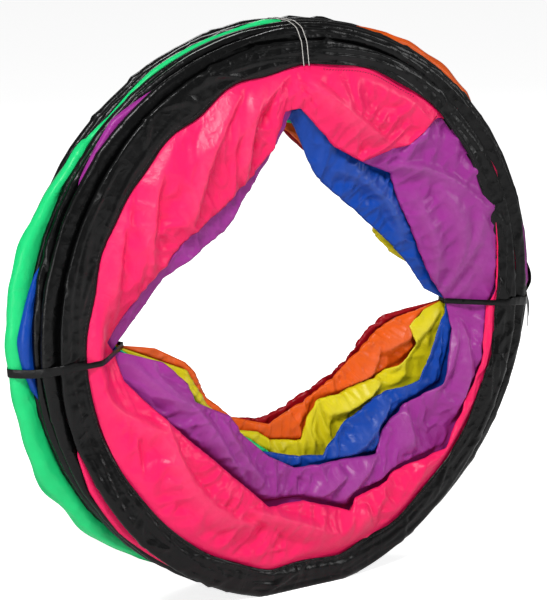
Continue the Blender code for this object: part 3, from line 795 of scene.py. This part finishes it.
def sleeve_points(number):
    """A tape folded over a hoop's wire, wrinkled along its length."""
    hoop = hoops[number]
    end = number in (0, HOOPS - 1)
    columns = HEM_COLUMNS if end else CASING_COLUMNS
    angle = full_turn(columns)
    depth = sleeve_depth(number, angle)[:, None]
    legs = np.linspace(1, 0, HEM_LEG_ROWS if end else CASING_LEG_ROWS)
    corner = (CROWN_DROP, CROWN_SHARE * SLEEVE_HALF_WIDTH)
    crown = [(corner[0], -corner[1]), (0.0, -SLEEVE_RIM_HALF_WIDTH), (0.0, SLEEVE_RIM_HALF_WIDTH), corner]
    leg_depth = SLEEVE_SHOULDER + (depth - SLEEVE_SHOULDER) * legs[None, :]
    leg_half = THROAT_HALF_WIDTH + (SLEEVE_HALF_WIDTH - THROAT_HALF_WIDTH) * smooth((1 - legs) * 1.6)
    leg_half = np.broadcast_to(leg_half, leg_depth.shape)
    crown_depth = np.broadcast_to([d for d, _ in crown], (columns, len(crown)))
    crown_half = np.broadcast_to([h for _, h in crown], (columns, len(crown)))
    deep = np.concatenate([leg_depth, crown_depth, leg_depth[:, ::-1]], 1)
    side = np.concatenate([-leg_half, crown_half, leg_half[:, ::-1]], 1)
    turn = np.broadcast_to(angle[:, None], deep.shape)
    puff = smooth(deep / 0.0035) * smooth((depth * 1.05 - deep) / 0.007)
    for way in (-1, 1):
        full = sleeve_fullness(number, way, angle)[:, None]
        side = np.where(np.sign(side) == way, side + way * full * puff, side)
    way_round = np.sign(side) * deep
    high = crease_heights(turn, way_round, sleeve_creases(number))
    lean = ripple(SEED + 400 + number, angle, 0 * angle, (3, 26), (0, 0), 14)[:, None]
    fine = ripple(SEED + 300 + number, turn, way_round / 0.02, (60, 150), (-1, 1))
    leg = smooth(deep / 0.004)
    out = np.sign(side) * leg * (high + TAPE_GRAIN * fine - (HEM_SETTLE if end else CASING_SETTLE))
    out += leg * lean * (HEM_LEAN if end else CASING_LEAN)
    radius = rim(hoop, angle)[:, None] - deep + (1.1 * high - 0.0006) * (1 - 0.7 * leg)
    points = set_out(hoop["centre"], turn, radius)
    points[..., 1] = plane(hoop, turn) + side + out
    points[..., 2] = np.maximum(points[..., 2], 0)
    return points


def band_mesh(name, points, thickness=0.0, closed_rows=False, crest=None):
    """A mesh object from an array of columns round the ring, rows and places, with a UV map in metres."""
    columns, rows = points.shape[:2]
    mesh = bpy.data.meshes.new(name)
    col, row = np.meshgrid(np.arange(columns), np.arange(rows - (not closed_rows)), indexing="ij")
    col, row = col.ravel(), row.ravel()
    after, below = (col + 1) % columns, (row + 1) % rows
    quads = np.stack([col * rows + row, after * rows + row, after * rows + below, col * rows + below], 1)
    mesh.from_pydata(points.reshape(-1, 3).tolist(), [], quads.tolist())
    step = gaps(points, 1).mean(0)
    down = np.concatenate([[0], np.cumsum(step), [step.sum() + step.mean()]])
    ring = gaps(points[:, 0], 0).sum()
    uv = np.empty((len(quads), 4, 2))
    uv[:, :, 0] = np.stack([col, col + 1, col + 1, col], 1) / columns * ring
    uv[:, :, 1] = np.stack([down[row], down[row], down[row + 1], down[row + 1]], 1)
    layer = mesh.uv_layers.new(name="cloth")
    layer.data.foreach_set("uv", uv.ravel())
    if crest is not None:
        mesh.attributes.new("crest", "FLOAT", "POINT").data.foreach_set("value", crest.ravel())
    mesh.update()
    mesh.shade_smooth()
    obj = placed(name, mesh)
    if thickness:
        wall = obj.modifiers.new("thickness", "SOLIDIFY")
        wall.thickness = thickness
        wall.offset = 0
    return obj


def open_band(name, points):
    """A mesh object, closed at both ends, from an array of places along a line and corners round it."""
    count, corners = points.shape[:2]
    faces = [list(range(corners)), list(range((count - 1) * corners, count * corners))]
    for i in range(count - 1):
        for j in range(corners):
            k = (j + 1) % corners
            faces.append([i * corners + j, i * corners + k, (i + 1) * corners + k, (i + 1) * corners + j])
    mesh = bpy.data.meshes.new(name)
    mesh.from_pydata(points.reshape(-1, 3).tolist(), [], faces)
    return placed(name, mesh)


def finish_mesh(obj):
    """Apply an object's modifiers, so that its mesh is plain."""
    graph = bpy.context.evaluated_depsgraph_get()
    mesh = bpy.data.meshes.new_from_object(obj.evaluated_get(graph))
    obj.modifiers.clear()
    old, obj.data = obj.data, mesh
    if old.users == 0:
        bpy.data.meshes.remove(old)
    mesh.name = obj.name
    return obj


def join_meshes(name, objects):
    """One object from several closed meshes, with all faces outwards."""
    bm = bmesh.new()
    for obj in objects:
        bm.from_mesh(obj.data)
        mesh = obj.data
        bpy.data.objects.remove(obj)
        bpy.data.meshes.remove(mesh)
    bmesh.ops.recalc_face_normals(bm, faces=bm.faces)
    mesh = bpy.data.meshes.new(name)
    bm.to_mesh(mesh)
    bm.free()
    mesh.shade_smooth()
    return placed(name, mesh)


def section_at(angle, reach, pieces):
    """The bundle's points near a plane through its axis: how far out and along they lie."""
    direction = outward(np.array(angle))
    across = np.cross(ALONG, direction)
    found = []
    for points in pieces:
        offset = points.reshape(-1, 3) - stack_middle
        near = (np.abs(offset @ across) < reach) & (offset @ direction > 0)
        found.append(np.stack([offset[near] @ direction, offset[near][:, 1]], -1))
    return np.concatenate(found)


def in_section(direction, line, start=0):
    """A line of places out and along in a section's plane, brought into the scene."""
    return start + direction * line[:, :1] + ALONG * line[:, 1:]


def loop_round(points, clearance):
    """A closed convex line that clears points in a plane."""
    turns = full_turn(LOOP_SIDES)
    step = TURN / LOOP_SIDES
    following = turns + step
    reach = (points @ np.stack([np.cos(turns), np.sin(turns)])).max(0) + clearance
    after = np.roll(reach, -1)
    out = (reach * np.sin(following) - after * np.sin(turns)) / math.sin(step)
    along = (after * np.cos(turns) - reach * np.cos(following)) / math.sin(step)
    return np.stack([out, along], -1)


def spaced(line, count):
    """Points at equal steps along a closed line."""
    whole = np.concatenate([line, line[:1]])
    gone = np.concatenate([[0], np.cumsum(gaps(whole, 0))])
    marks = np.linspace(0, gone[-1], count + 1)[:count]
    return np.stack([np.interp(marks, gone, whole[:, k]) for k in range(whole.shape[1])], -1)


def ribbon_points(places, across, up, width, thickness):
    """A flat ribbon's rounded section, carried along places."""
    corners = ((-0.5, -0.25), (-0.5, 0.25), (-0.42, 0.5), (0, 0.5), (0.42, 0.5), (0.5, 0.25))
    corners += ((0.5, -0.25), (0.42, -0.5), (0, -0.5), (-0.42, -0.5))
    rows = [places + across * (width * a)[:, None] + up * thickness * b for a, b in corners]
    return np.stack(rows, 1)


def cord_points(places, across, up, half_width, half_height):
    """An oval cord's section, carried along places."""
    rows = []
    for turn in full_turn(8):
        rows.append(places + across * math.cos(turn) * half_width + up * math.sin(turn) * half_height)
    return np.stack(rows, 1)


def knot_mesh(name, seat, axes):
    """A small overhand knot of the same ribbon, pulled tight."""
    t = full_turn(96)
    path = np.stack([np.sin(t) + 2 * np.sin(2 * t), np.cos(t) - 2 * np.cos(2 * t), -1.6 * np.sin(3 * t)], -1)
    path = path / 3 * np.array(KNOT_SIZE) / 2
    ahead = unit(np.roll(path, -1, 0) - np.roll(path, 1, 0))
    side = unit(np.cross(ahead, (0, 0, 1)))
    rise = np.cross(side, ahead)
    points = seat + cord_points(path, side, rise, *KNOT_CORD) @ np.array(axes)
    return band_mesh(name, points, closed_rows=True)


def tail_mesh(name, seat, along, facing, spread, seed):
    """A free end of the ribbon that leaves the knot and curls away."""
    rng = np.random.default_rng(seed)
    u = np.linspace(0, 1, 26)[:, None]
    curl = rng.uniform(0.6, 1.0)
    path = seat + along * TAIL_LENGTH * u + facing * (0.0035 * np.sin(math.pi * u * 1.1) + 0.002)
    path = path + spread * 0.010 * curl * u**2
    ahead = unit(np.gradient(path, axis=0))
    up = unit(np.cross(ahead, spread))
    twist = 0.9 * curl * u
    across = np.cross(up, ahead)
    turned = across * np.cos(twist) + up * np.sin(twist)
    facing_up = up * np.cos(twist) - across * np.sin(twist)
    width = TIE_WIDTH * (0.55 + 0.45 * smooth(u[:, 0] * 3))
    return open_band(name, ribbon_points(path, turned, facing_up, width, TIE_THICKNESS))


def tie_object(name, angle, knot_turn, pieces, seed):
    """A ribbon pulled tight round the whole bundle, narrow where it bites into the cloth, with its knot."""
    direction = outward(np.array(angle))
    across = np.cross(ALONG, direction)
    outer = section_at(angle, TIE_WIDTH / 2, pieces)
    inner = section_at(angle, TIE_BITE, pieces)
    start = full_radius - HEM_DEPTH - 0.010
    section = np.concatenate([outer[outer[:, 0] > start], inner[inner[:, 0] <= start]])
    line = spaced(loop_round(section, TIE_CLEARANCE + TIE_THICKNESS / 2), 220)
    ahead = unit(np.roll(line, -1, 0) - np.roll(line, 1, 0))
    normal = np.stack([ahead[:, 1], -ahead[:, 0]], -1)
    bite = smooth((full_radius - HEM_DEPTH - line[:, 0]) / BITE_SPAN)
    width = TIE_WIDTH * (1 - BITE_SHARE * bite)
    sway = TIE_SWAY * np.sin(np.arange(len(line)) / len(line) * TURN * 3 + seed) * (1 - bite)
    places = in_section(direction, line, stack_middle) + across * sway[:, None]
    up = in_section(direction, normal)
    ribbon = band_mesh(name, ribbon_points(places, across, up, width, TIE_THICKNESS), closed_rows=True)
    facing = direction * math.cos(knot_turn) + ALONG * math.sin(knot_turn)
    at = int(np.argmax(line @ np.array([math.cos(knot_turn), math.sin(knot_turn)])))
    if knot_turn == 0:
        furthest = np.flatnonzero(line[:, 0] > line[:, 0].max() - 0.0005)
        at = int(furthest[len(furthest) // 2])
    seat = places[at] + facing * KNOT_LIFT
    lying = np.cross(across, facing)
    knot = knot_mesh(f"{name}_knot", seat, (across, lying, facing))
    tails = [
        tail_mesh(f"{name}_tail_{way}", seat, across * way, facing, lying * way, seed + way)
        for way in (-1, 1)
    ]
    return join_meshes(name, [ribbon, knot, *tails])


def thread_object(pieces):
    """A thin thread stitched through the front hem, taken over all the rims, and back beside itself."""
    direction = outward(np.array(TOP_ANGLE))
    across = np.cross(ALONG, direction)
    section = section_at(TOP_ANGLE, 0.004, pieces)
    loop = spaced(loop_round(section, THREAD_RADIUS + THREAD_CLEARANCE), 400)
    ends = []
    for k in (0, HOOPS - 1):
        inside = rim(hoops[k], TOP_ANGLE) - float(sleeve_depth(k, np.array(TOP_ANGLE)))
        ends.append(inside + hoops[k]["centre"][2] - stack_middle[2])
    loop = np.roll(loop, len(loop) // 2, 0)
    start = int(np.argmax((loop[:, 0] > ends[0]) & (loop[:, 1] < 0)))
    stop = len(loop) - 1 - int(np.argmax((loop[::-1, 0] > ends[1]) & (loop[::-1, 1] > 0)))
    line = loop[start : stop + 1]
    made = []
    for side in (-1, 1):
        places = in_section(direction, line, stack_middle) + across * side * THREAD_SPACING / 2
        up = np.cross(unit(np.gradient(places, axis=0)), across)
        made.append(open_band("thread_run", cord_points(places, across, up, THREAD_RADIUS, THREAD_RADIUS)))
    return join_meshes("top_thread_pair", made)


def new_group(name, inputs, outputs, kind="ShaderNodeTree"):
    """A new node group. Each of its sockets has a name and a kind, and some inputs a starting value."""
    group = bpy.data.node_groups.new(name, kind)
    for way, sockets in (("INPUT", inputs), ("OUTPUT", outputs)):
        for label, sort, *value in sockets:
            socket = group.interface.new_socket(label, in_out=way, socket_type=f"NodeSocket{sort}")
            if value:
                socket.default_value = value[0]
    return group, group.nodes.new("NodeGroupInput").outputs, group.nodes.new("NodeGroupOutput").inputs


def feed(tree, node, sockets):
    """Set a node's sockets, by name or number, to plain values or other nodes' outputs."""
    for socket, value in sockets.items():
        if isinstance(value, bpy.types.NodeSocket):
            tree.links.new(value, node.inputs[socket])
        else:
            node.inputs[socket].default_value = value
    return node


def node_with(tree, kind, sockets, **settings):
    """A new node with its settings, and its sockets fed."""
    node = tree.nodes.new(kind)
    for label, value in settings.items():
        setattr(node, label, value)
    return feed(tree, node, sockets)


def maths(tree, operation, *values):
    return node_with(tree, "ShaderNodeMath", dict(enumerate(values)), operation=operation).outputs[0]


def use_group(tree, group, sockets):
    return node_with(tree, "ShaderNodeGroup", sockets, node_tree=group).outputs


def mixed_colours(tree, share, one, other):
    sockets = {"Factor": share, 6: one, 7: other}
    return node_with(tree, "ShaderNodeMix", sockets, data_type="RGBA").outputs[2]


def bumped(tree, strength, distance, height, below=None):
    """A normal raised by a height, over the one below it."""
    sockets = {"Strength": strength, "Distance": distance, "Height": height}
    if below is not None:
        sockets["Normal"] = below
    return node_with(tree, "ShaderNodeBump", sockets).outputs[0]


def noise_at(tree, place, scale, detail, distortion=0.0):
    sockets = {"Vector": place, "Scale": scale, "Detail": detail, "Distortion": distortion}
    return node_with(tree, "ShaderNodeTexNoise", sockets).outputs["Fac"]


def weave_group():
    """Plain weave: threads over and under each other, laid out in metres by the cloth's UV map."""
    inputs = (("Cloth", "Vector"), ("Threads per Metre", "Float", 1400.0))
    group, given, out = new_group("nylon_weave", inputs, [("Height", "Float")])
    split = node_with(group, "ShaderNodeSeparateXYZ", {0: given["Cloth"]})
    turns = maths(group, "MULTIPLY", given["Threads per Metre"], math.pi)
    waves = [maths(group, "SINE", maths(group, "MULTIPLY", split.outputs[axis], turns)) for axis in "XY"]
    crossing = maths(group, "MULTIPLY", *waves)
    group.links.new(maths(group, "MULTIPLY_ADD", crossing, 0.5, 0.5), out["Height"])
    return group


def crumple_group():
    """Small sharp wrinkles between the modelled folds."""
    inputs = (("Place", "Vector"), ("Scale", "Float", 28.0), ("Fine", "Float", 0.35))
    group, given, out = new_group("nylon_crumple", inputs, [("Height", "Float")])
    heights = []
    for factor, distortion in ((1.0, 0.6), (3.1, 0.3)):
        scale = maths(group, "MULTIPLY", given["Scale"], factor)
        noise = noise_at(group, given["Place"], scale, 2.0, distortion)
        wave = maths(group, "MULTIPLY_ADD", noise, 2.0, -1.0)
        crest = maths(group, "SUBTRACT", 1.0, maths(group, "ABSOLUTE", wave))
        heights.append(maths(group, "POWER", crest, 5.0))
    fine = maths(group, "MULTIPLY", heights[1], given["Fine"])
    group.links.new(maths(group, "ADD", heights[0], fine), out["Height"])
    return group


def tone_group():
    """Uneven dye and worn, paler folds. Gives the colour and how much rougher the cloth is there."""
    inputs = (
        ("Colour", "Color", (0.5, 0.5, 0.5, 1)), ("Worn Colour", "Color", (0.8, 0.8, 0.8, 1)),
        ("Place", "Vector"), ("Crest", "Float", 0.0), ("Unevenness", "Float", 0.12),
        ("Wear", "Float", 0.2),
    )
    outputs = [("Colour", "Color"), ("Roughening", "Float")]
    group, given, out = new_group("cloth_tone", inputs, outputs)
    patches = noise_at(group, given["Place"], 9.0, 4.0, 0.4)
    specks = noise_at(group, given["Place"], 260.0, 2.0)
    swing = maths(group, "MULTIPLY_ADD", patches, 1.5, maths(group, "MULTIPLY", specks, 0.5))
    swing = maths(group, "SUBTRACT", swing, 1.0)
    level = maths(group, "MULTIPLY_ADD", swing, given["Unevenness"], 1.0)
    sockets = {0: given["Colour"], "Scale": level}
    dyed = node_with(group, "ShaderNodeVectorMath", sockets, operation="SCALE")
    rubbed = maths(group, "MULTIPLY", given["Crest"], maths(group, "MULTIPLY_ADD", specks, 1.2, 0.2))
    rubbed = maths(group, "MULTIPLY", rubbed, given["Wear"])
    mixed = mixed_colours(group, rubbed, dyed.outputs[0], given["Worn Colour"])
    group.links.new(mixed, out["Colour"])
    group.links.new(maths(group, "MULTIPLY_ADD", patches, 0.16, -0.08), out["Roughening"])
    return group


def brushed_group():
    """Fine drawn lines, as steel wire has."""
    inputs = (("Place", "Vector"), ("Lines per Metre", "Float", 900.0))
    group, given, out = new_group("drawn_steel", inputs, [("Lines", "Float"), ("Stain", "Float")])
    group.links.new(noise_at(group, given["Place"], given["Lines per Metre"], 2.0), out["Lines"])
    group.links.new(noise_at(group, given["Place"], 40.0, 3.0), out["Stain"])
    return group


WEAVE = weave_group()
CRUMPLE = crumple_group()
TONE = tone_group()
DRAWN = brushed_group()


def new_material(name):
    material = bpy.data.materials.new(name)
    material.use_nodes = True
    tree = material.node_tree
    return material, tree, tree.nodes["Principled BSDF"]


def nylon(name, colour, roughness=0.33, wear=0.10, crumple=0.0004, specular=0.22, sheen=0.02):
    """Satin nylon: woven, dyed a little unevenly, paler along its worn folds, with small wrinkles."""
    material, tree, shader = new_material(name)
    place = tree.nodes.new("ShaderNodeTexCoord").outputs
    crest = node_with(tree, "ShaderNodeAttribute", {}, attribute_name="crest").outputs["Fac"]
    worn = tuple(part + WORN_PALENESS * (1 - part) for part in colour)
    sockets = {"Colour": (*colour, 1), "Worn Colour": (*worn, 1), "Wear": wear}
    sockets |= {"Place": place["Object"], "Crest": crest}
    tone = use_group(tree, TONE, sockets)
    weave = use_group(tree, WEAVE, {"Cloth": place["UV"]})["Height"]
    woven = bumped(tree, 0.5, WEAVE_HEIGHT, weave)
    folds = use_group(tree, CRUMPLE, {"Place": place["Object"]})["Height"]
    feed(tree, shader, {
        "Base Color": tone["Colour"],
        "Roughness": maths(tree, "ADD", tone["Roughening"], roughness),
        "Specular IOR Level": specular,
        "Sheen Weight": sheen,
        "Sheen Roughness": 0.35,
        "Sheen Tint": (*(0.5 + 0.5 * part for part in colour), 1),
        "Normal": bumped(tree, 1.0, crumple, folds, woven),
    })
    return material


def steel(name, colour, roughness):
    """Drawn spring steel, a little stained."""
    material, tree, shader = new_material(name)
    place = tree.nodes.new("ShaderNodeTexCoord").outputs["Object"]
    drawn = use_group(tree, DRAWN, {"Place": place})
    dark = tuple(0.6 * part for part in colour)
    feed(tree, shader, {
        "Base Color": mixed_colours(tree, drawn["Stain"], (*colour, 1), (*dark, 1)),
        "Metallic": 1.0,
        "Roughness": maths(tree, "MULTIPLY_ADD", drawn["Lines"], 0.2, roughness),
        "Normal": bumped(tree, 0.4, DRAWN_LINE_HEIGHT, drawn["Lines"]),
    })
    return material


def stitch_tree():
    """Stitches laid along a line of edges, each a short rounded piece of thread that follows the line."""
    inputs = [("Line", "Geometry"), ("Spacing", "Float"), ("Stitch Length", "Float")]
    inputs += [("Thread Radius", "Float"), ("Thread", "Material")]
    outputs = [("Stitches", "Geometry")]
    tree, given, out = new_group("stitch_run", inputs, outputs, "GeometryNodeTree")
    curve = node_with(tree, "GeometryNodeMeshToCurve", {"Mesh": given["Line"]})
    sockets = {"Curve": curve.outputs["Curve"], "Length": given["Spacing"]}
    spots = node_with(tree, "GeometryNodeCurveToPoints", sockets, mode="LENGTH")
    sockets = {"Segments": 6, "Rings": 5, "Radius": given["Thread Radius"]}
    bead = node_with(tree, "GeometryNodeMeshUVSphere", sockets)
    across = maths(tree, "MULTIPLY", given["Thread Radius"], 2.0)
    stretch = maths(tree, "DIVIDE", given["Stitch Length"], across)
    scale = node_with(tree, "ShaderNodeCombineXYZ", {"X": 1.0, "Y": 1.0, "Z": stretch})
    sockets = {"Geometry": bead.outputs["Mesh"], "Scale": scale.outputs[0]}
    stitch = node_with(tree, "GeometryNodeTransform", sockets)
    sockets = {"Points": spots.outputs["Points"], "Instance": stitch.outputs[0]}
    sockets |= {"Rotation": spots.outputs["Rotation"]}
    laid = node_with(tree, "GeometryNodeInstanceOnPoints", sockets)
    real = node_with(tree, "GeometryNodeRealizeInstances", {"Geometry": laid.outputs["Instances"]})
    sockets = {"Geometry": real.outputs["Geometry"], "Material": given["Thread"]}
    threaded = node_with(tree, "GeometryNodeSetMaterial", sockets)
    tree.links.new(threaded.outputs["Geometry"], out["Stitches"])
    return tree


STITCH_RUN = stitch_tree()


def stitches(name, line, closed, thread, spacing=0.0034, length=0.0026, radius=0.00028):
    """A run of stitches along a line of points, as one plain mesh."""
    count = len(line)
    mesh = bpy.data.meshes.new(name)
    edges = [(i, (i + 1) % count) for i in range(count if closed else count - 1)]
    mesh.from_pydata(line.tolist(), edges, [])
    run = placed(name, mesh)
    modifier = run.modifiers.new("stitches", "NODES")
    modifier.node_group = STITCH_RUN
    values = {"Spacing": spacing, "Stitch Length": length, "Thread Radius": radius, "Thread": thread}
    for socket in STITCH_RUN.interface.items_tree:
        if socket.name in values:
            modifier[socket.identifier] = values[socket.name]
    finish_mesh(run)
    run.data.shade_smooth()
    return run


def blend_ends(bay):
    """Where a panel's cloth starts to leave its front hoop and where it has reached its rear one, along the
    tilt that the two hoops have between them."""
    angle = full_turn(STATIONS)
    rings = []
    for number in (bay, bay + 1):
        hoop = hoops[number]
        rows = []
        for radius in (rim(hoop, angle), fold_radius(bay, angle)):
            place = set_out(hoop["centre"], angle, radius)
            place[:, 1] = plane(hoop, angle)
            rows.append(place)
        rings.append(np.concatenate(rows))
    middle = (rings[0] + rings[1]) / 2
    flat = np.stack([np.ones(len(middle)), middle[:, 0], middle[:, 2]], 1)
    fit = np.linalg.lstsq(flat, middle[:, 1], rcond=None)[0]
    normal = np.array([-fit[1], 1, -fit[2]])
    start = (rings[0] @ normal).max() + BLEND_MARGIN
    end = (rings[1] @ normal).min() - BLEND_MARGIN
    return [tuple(float(x) for x in normal * reach / (normal @ normal)) for reach in (start, end)]


def panel_stitch_line(points):
    """A line on the front panel's wall, just inside the hem, where the top right of the seam shows."""
    turns = np.radians(np.linspace(*PANEL_STITCH_ANGLES, 160))
    line = []
    for turn in turns:
        column = points[int(round(turn / TURN * COLUMNS)) % COLUMNS, : FRONT_ROWS["pink"]]
        inside = rim(hoops[0], turn) - sleeve_depth(0, turn) - PANEL_STITCH_INSET
        reach = polar(column, hoops[0]["centre"])[0]
        line.append([np.interp(-inside, -reach, column[:, axis]) for axis in range(3)])
    line = np.array(line)
    line[:, 1] -= CLOTH_THICKNESS
    return line


def add_panels(dark_thread):
    shapes = []
    for bay, name in enumerate(PANELS):
        points, crest = shape_panel(bay)
        shapes.append(points)
        panel = finish_mesh(band_mesh(f"{name}_panel", points, CLOTH_THICKNESS, crest=crest))
        panel.data.materials.append(nylon(f"{name}_nylon_cloth", COLOURS[name]))
        start, end = blend_ends(bay)
        if bay == 0:
            line = panel_stitch_line(points)
            run = stitches("panel_stitches", line, False, dark_thread, 0.0030, 0.0020, 0.0003)
            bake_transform(run)
            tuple(start)
            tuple(end)
        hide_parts(f"panel_{bay + 1}_{name}")
        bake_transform(panel)
        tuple(start)
        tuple(end)
    return shapes


def add_sleeves(dark_thread):
    black = nylon("black_nylon_tape", BLACK_TAPE, 0.27, 0.01, 0.0004, 0.24, 0.0)
    shapes = []
    for number in range(HOOPS):
        points = sleeve_points(number)
        shapes.append(points)
        sleeve = finish_mesh(band_mesh(f"hoop_sleeve_{number + 1}", points, SLEEVE_TAPE))
        sleeve.data.materials.append(black)
        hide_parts(f"sleeve_{number + 1}")
        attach(sleeve, f"hoop_{number + 1}")
        if number in (0, HOOPS - 1):
            way = -1 if number == 0 else 1
            line = points[:, 2 if number == 0 else -3].copy()
            line[:, 1] += way * SLEEVE_TAPE * 0.6
            run = stitches(f"hem_stitches_{number + 1}", line, True, dark_thread)
            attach(run, f"hoop_{number + 1}")
    return shapes, black


def add_ties(pieces, black):
    anchor = (0, float(min(hoops[0]["plane"])), 0)
    ties = (("left", TIE_ANGLES[0], math.pi / 2), ("right", TIE_ANGLES[1], 0))
    for number, (side, angle, knot_turn) in enumerate(ties):
        tie = tie_object(f"ribbon_tie_{side}", angle, knot_turn, pieces, 31 + 10 * number)
        tie.data.materials.append(black)
        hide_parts(f"tie_{side}")
        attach(tie, "hoop_1")
        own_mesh(tie)
    thread = thread_object(pieces)
    thread.data.materials.append(nylon("pale_thread", (0.55, 0.53, 0.50), 0.35, 0.05, 0.0001))
    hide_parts("top_thread")
    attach(thread, "hoop_1")
    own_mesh(thread)


def finish_steel():
    """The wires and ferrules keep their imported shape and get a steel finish."""
    spring = steel("spring_steel", (0.42, 0.42, 0.44), 0.30)
    crimped = steel("crimped_steel", (0.62, 0.62, 0.60), 0.36)
    for number in range(1, HOOPS + 1):
        for node, finish in ((f"wire_{number}", spring), (f"ferrule_{number}", crimped)):
            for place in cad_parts[node].material_slots:
                place.material = finish


def area_light(name, place, size, watts):
    light = bpy.data.lights.new(name, "AREA")
    light.shape = "RECTANGLE"
    light.size, light.size_y = size
    light.energy = watts
    lamp = placed(name, light)
    lamp.location = place
    lamp.rotation_euler = (Vector(LIGHT_AIM) - Vector(place)).to_track_quat("-Z", "Y").to_euler()


def background_rays(tree):
    """1 for what the camera sees itself, a little in a gloss, 0 for light that falls on the object."""
    path = tree.nodes.new("ShaderNodeLightPath").outputs
    seen = maths(tree, "MAXIMUM", path["Is Camera Ray"], path["Is Transmission Ray"])
    mirrored = maths(tree, "MULTIPLY", path["Is Glossy Ray"], GLOSSY_ROOM)
    return maths(tree, "MAXIMUM", seen, mirrored)


def add_stage():
    bpy.ops.mesh.primitive_plane_add(size=16)
    floor = bpy.context.object
    floor.name = "floor"
    paint, tree, shader = new_material("floor_paint")
    feed(tree, shader, {
        "Base Color": (0.95, 0.95, 0.95, 1),
        "Roughness": 0.9,
        "Specular IOR Level": 0.1,
        "Emission Color": (1, 1, 1, 1),
        "Emission Strength": maths(tree, "MULTIPLY", background_rays(tree), FLOOR_GLOW),
    })
    floor.data.materials.append(paint)
    world = bpy.data.worlds.new("studio")
    bpy.context.scene.world = world
    world.use_nodes = True
    tree = world.node_tree
    strength = maths(tree, "MULTIPLY_ADD", background_rays(tree), 1 - ROOM_LIGHT, ROOM_LIGHT)
    feed(tree, tree.nodes["Background"], {"Color": (1, 1, 1, 1), "Strength": strength})
    for light in STUDIO_LIGHTS:
        area_light(*light)


def add_camera():
    azimuth, elevation = CAMERA_ANGLES
    level = math.cos(elevation)
    back = Vector((math.sin(azimuth) * level, -math.cos(azimuth) * level, math.sin(elevation)))
    upright = math.pi / 2
    depth = (plane(hoops[0], upright) + plane(hoops[-1], upright)) / 2
    aim = Vector((hoops[0]["centre"][0], float(depth), full_radius))
    camera = placed("camera", bpy.data.cameras.new("camera"))
    camera.location = aim + back * CAMERA_DISTANCE
    camera.rotation_euler = (-back).to_track_quat("-Z", "Y").to_euler()
    camera.data.lens = CAMERA_LENS
    camera.data.shift_x, camera.data.shift_y = CAMERA_SHIFT
    bpy.context.scene.camera = camera


bpy.context.scene.view_settings.view_transform = "Standard"
sewing_thread = nylon("black_thread", (0.012, 0.010, 0.011), 0.45, 0, 0.00005, 0.4, 0.05)
panel_shapes = add_panels(sewing_thread)
sleeve_shapes, black_tape = add_sleeves(sewing_thread)
add_ties(panel_shapes + sleeve_shapes, black_tape)
finish_steel()
add_stage()
add_camera()
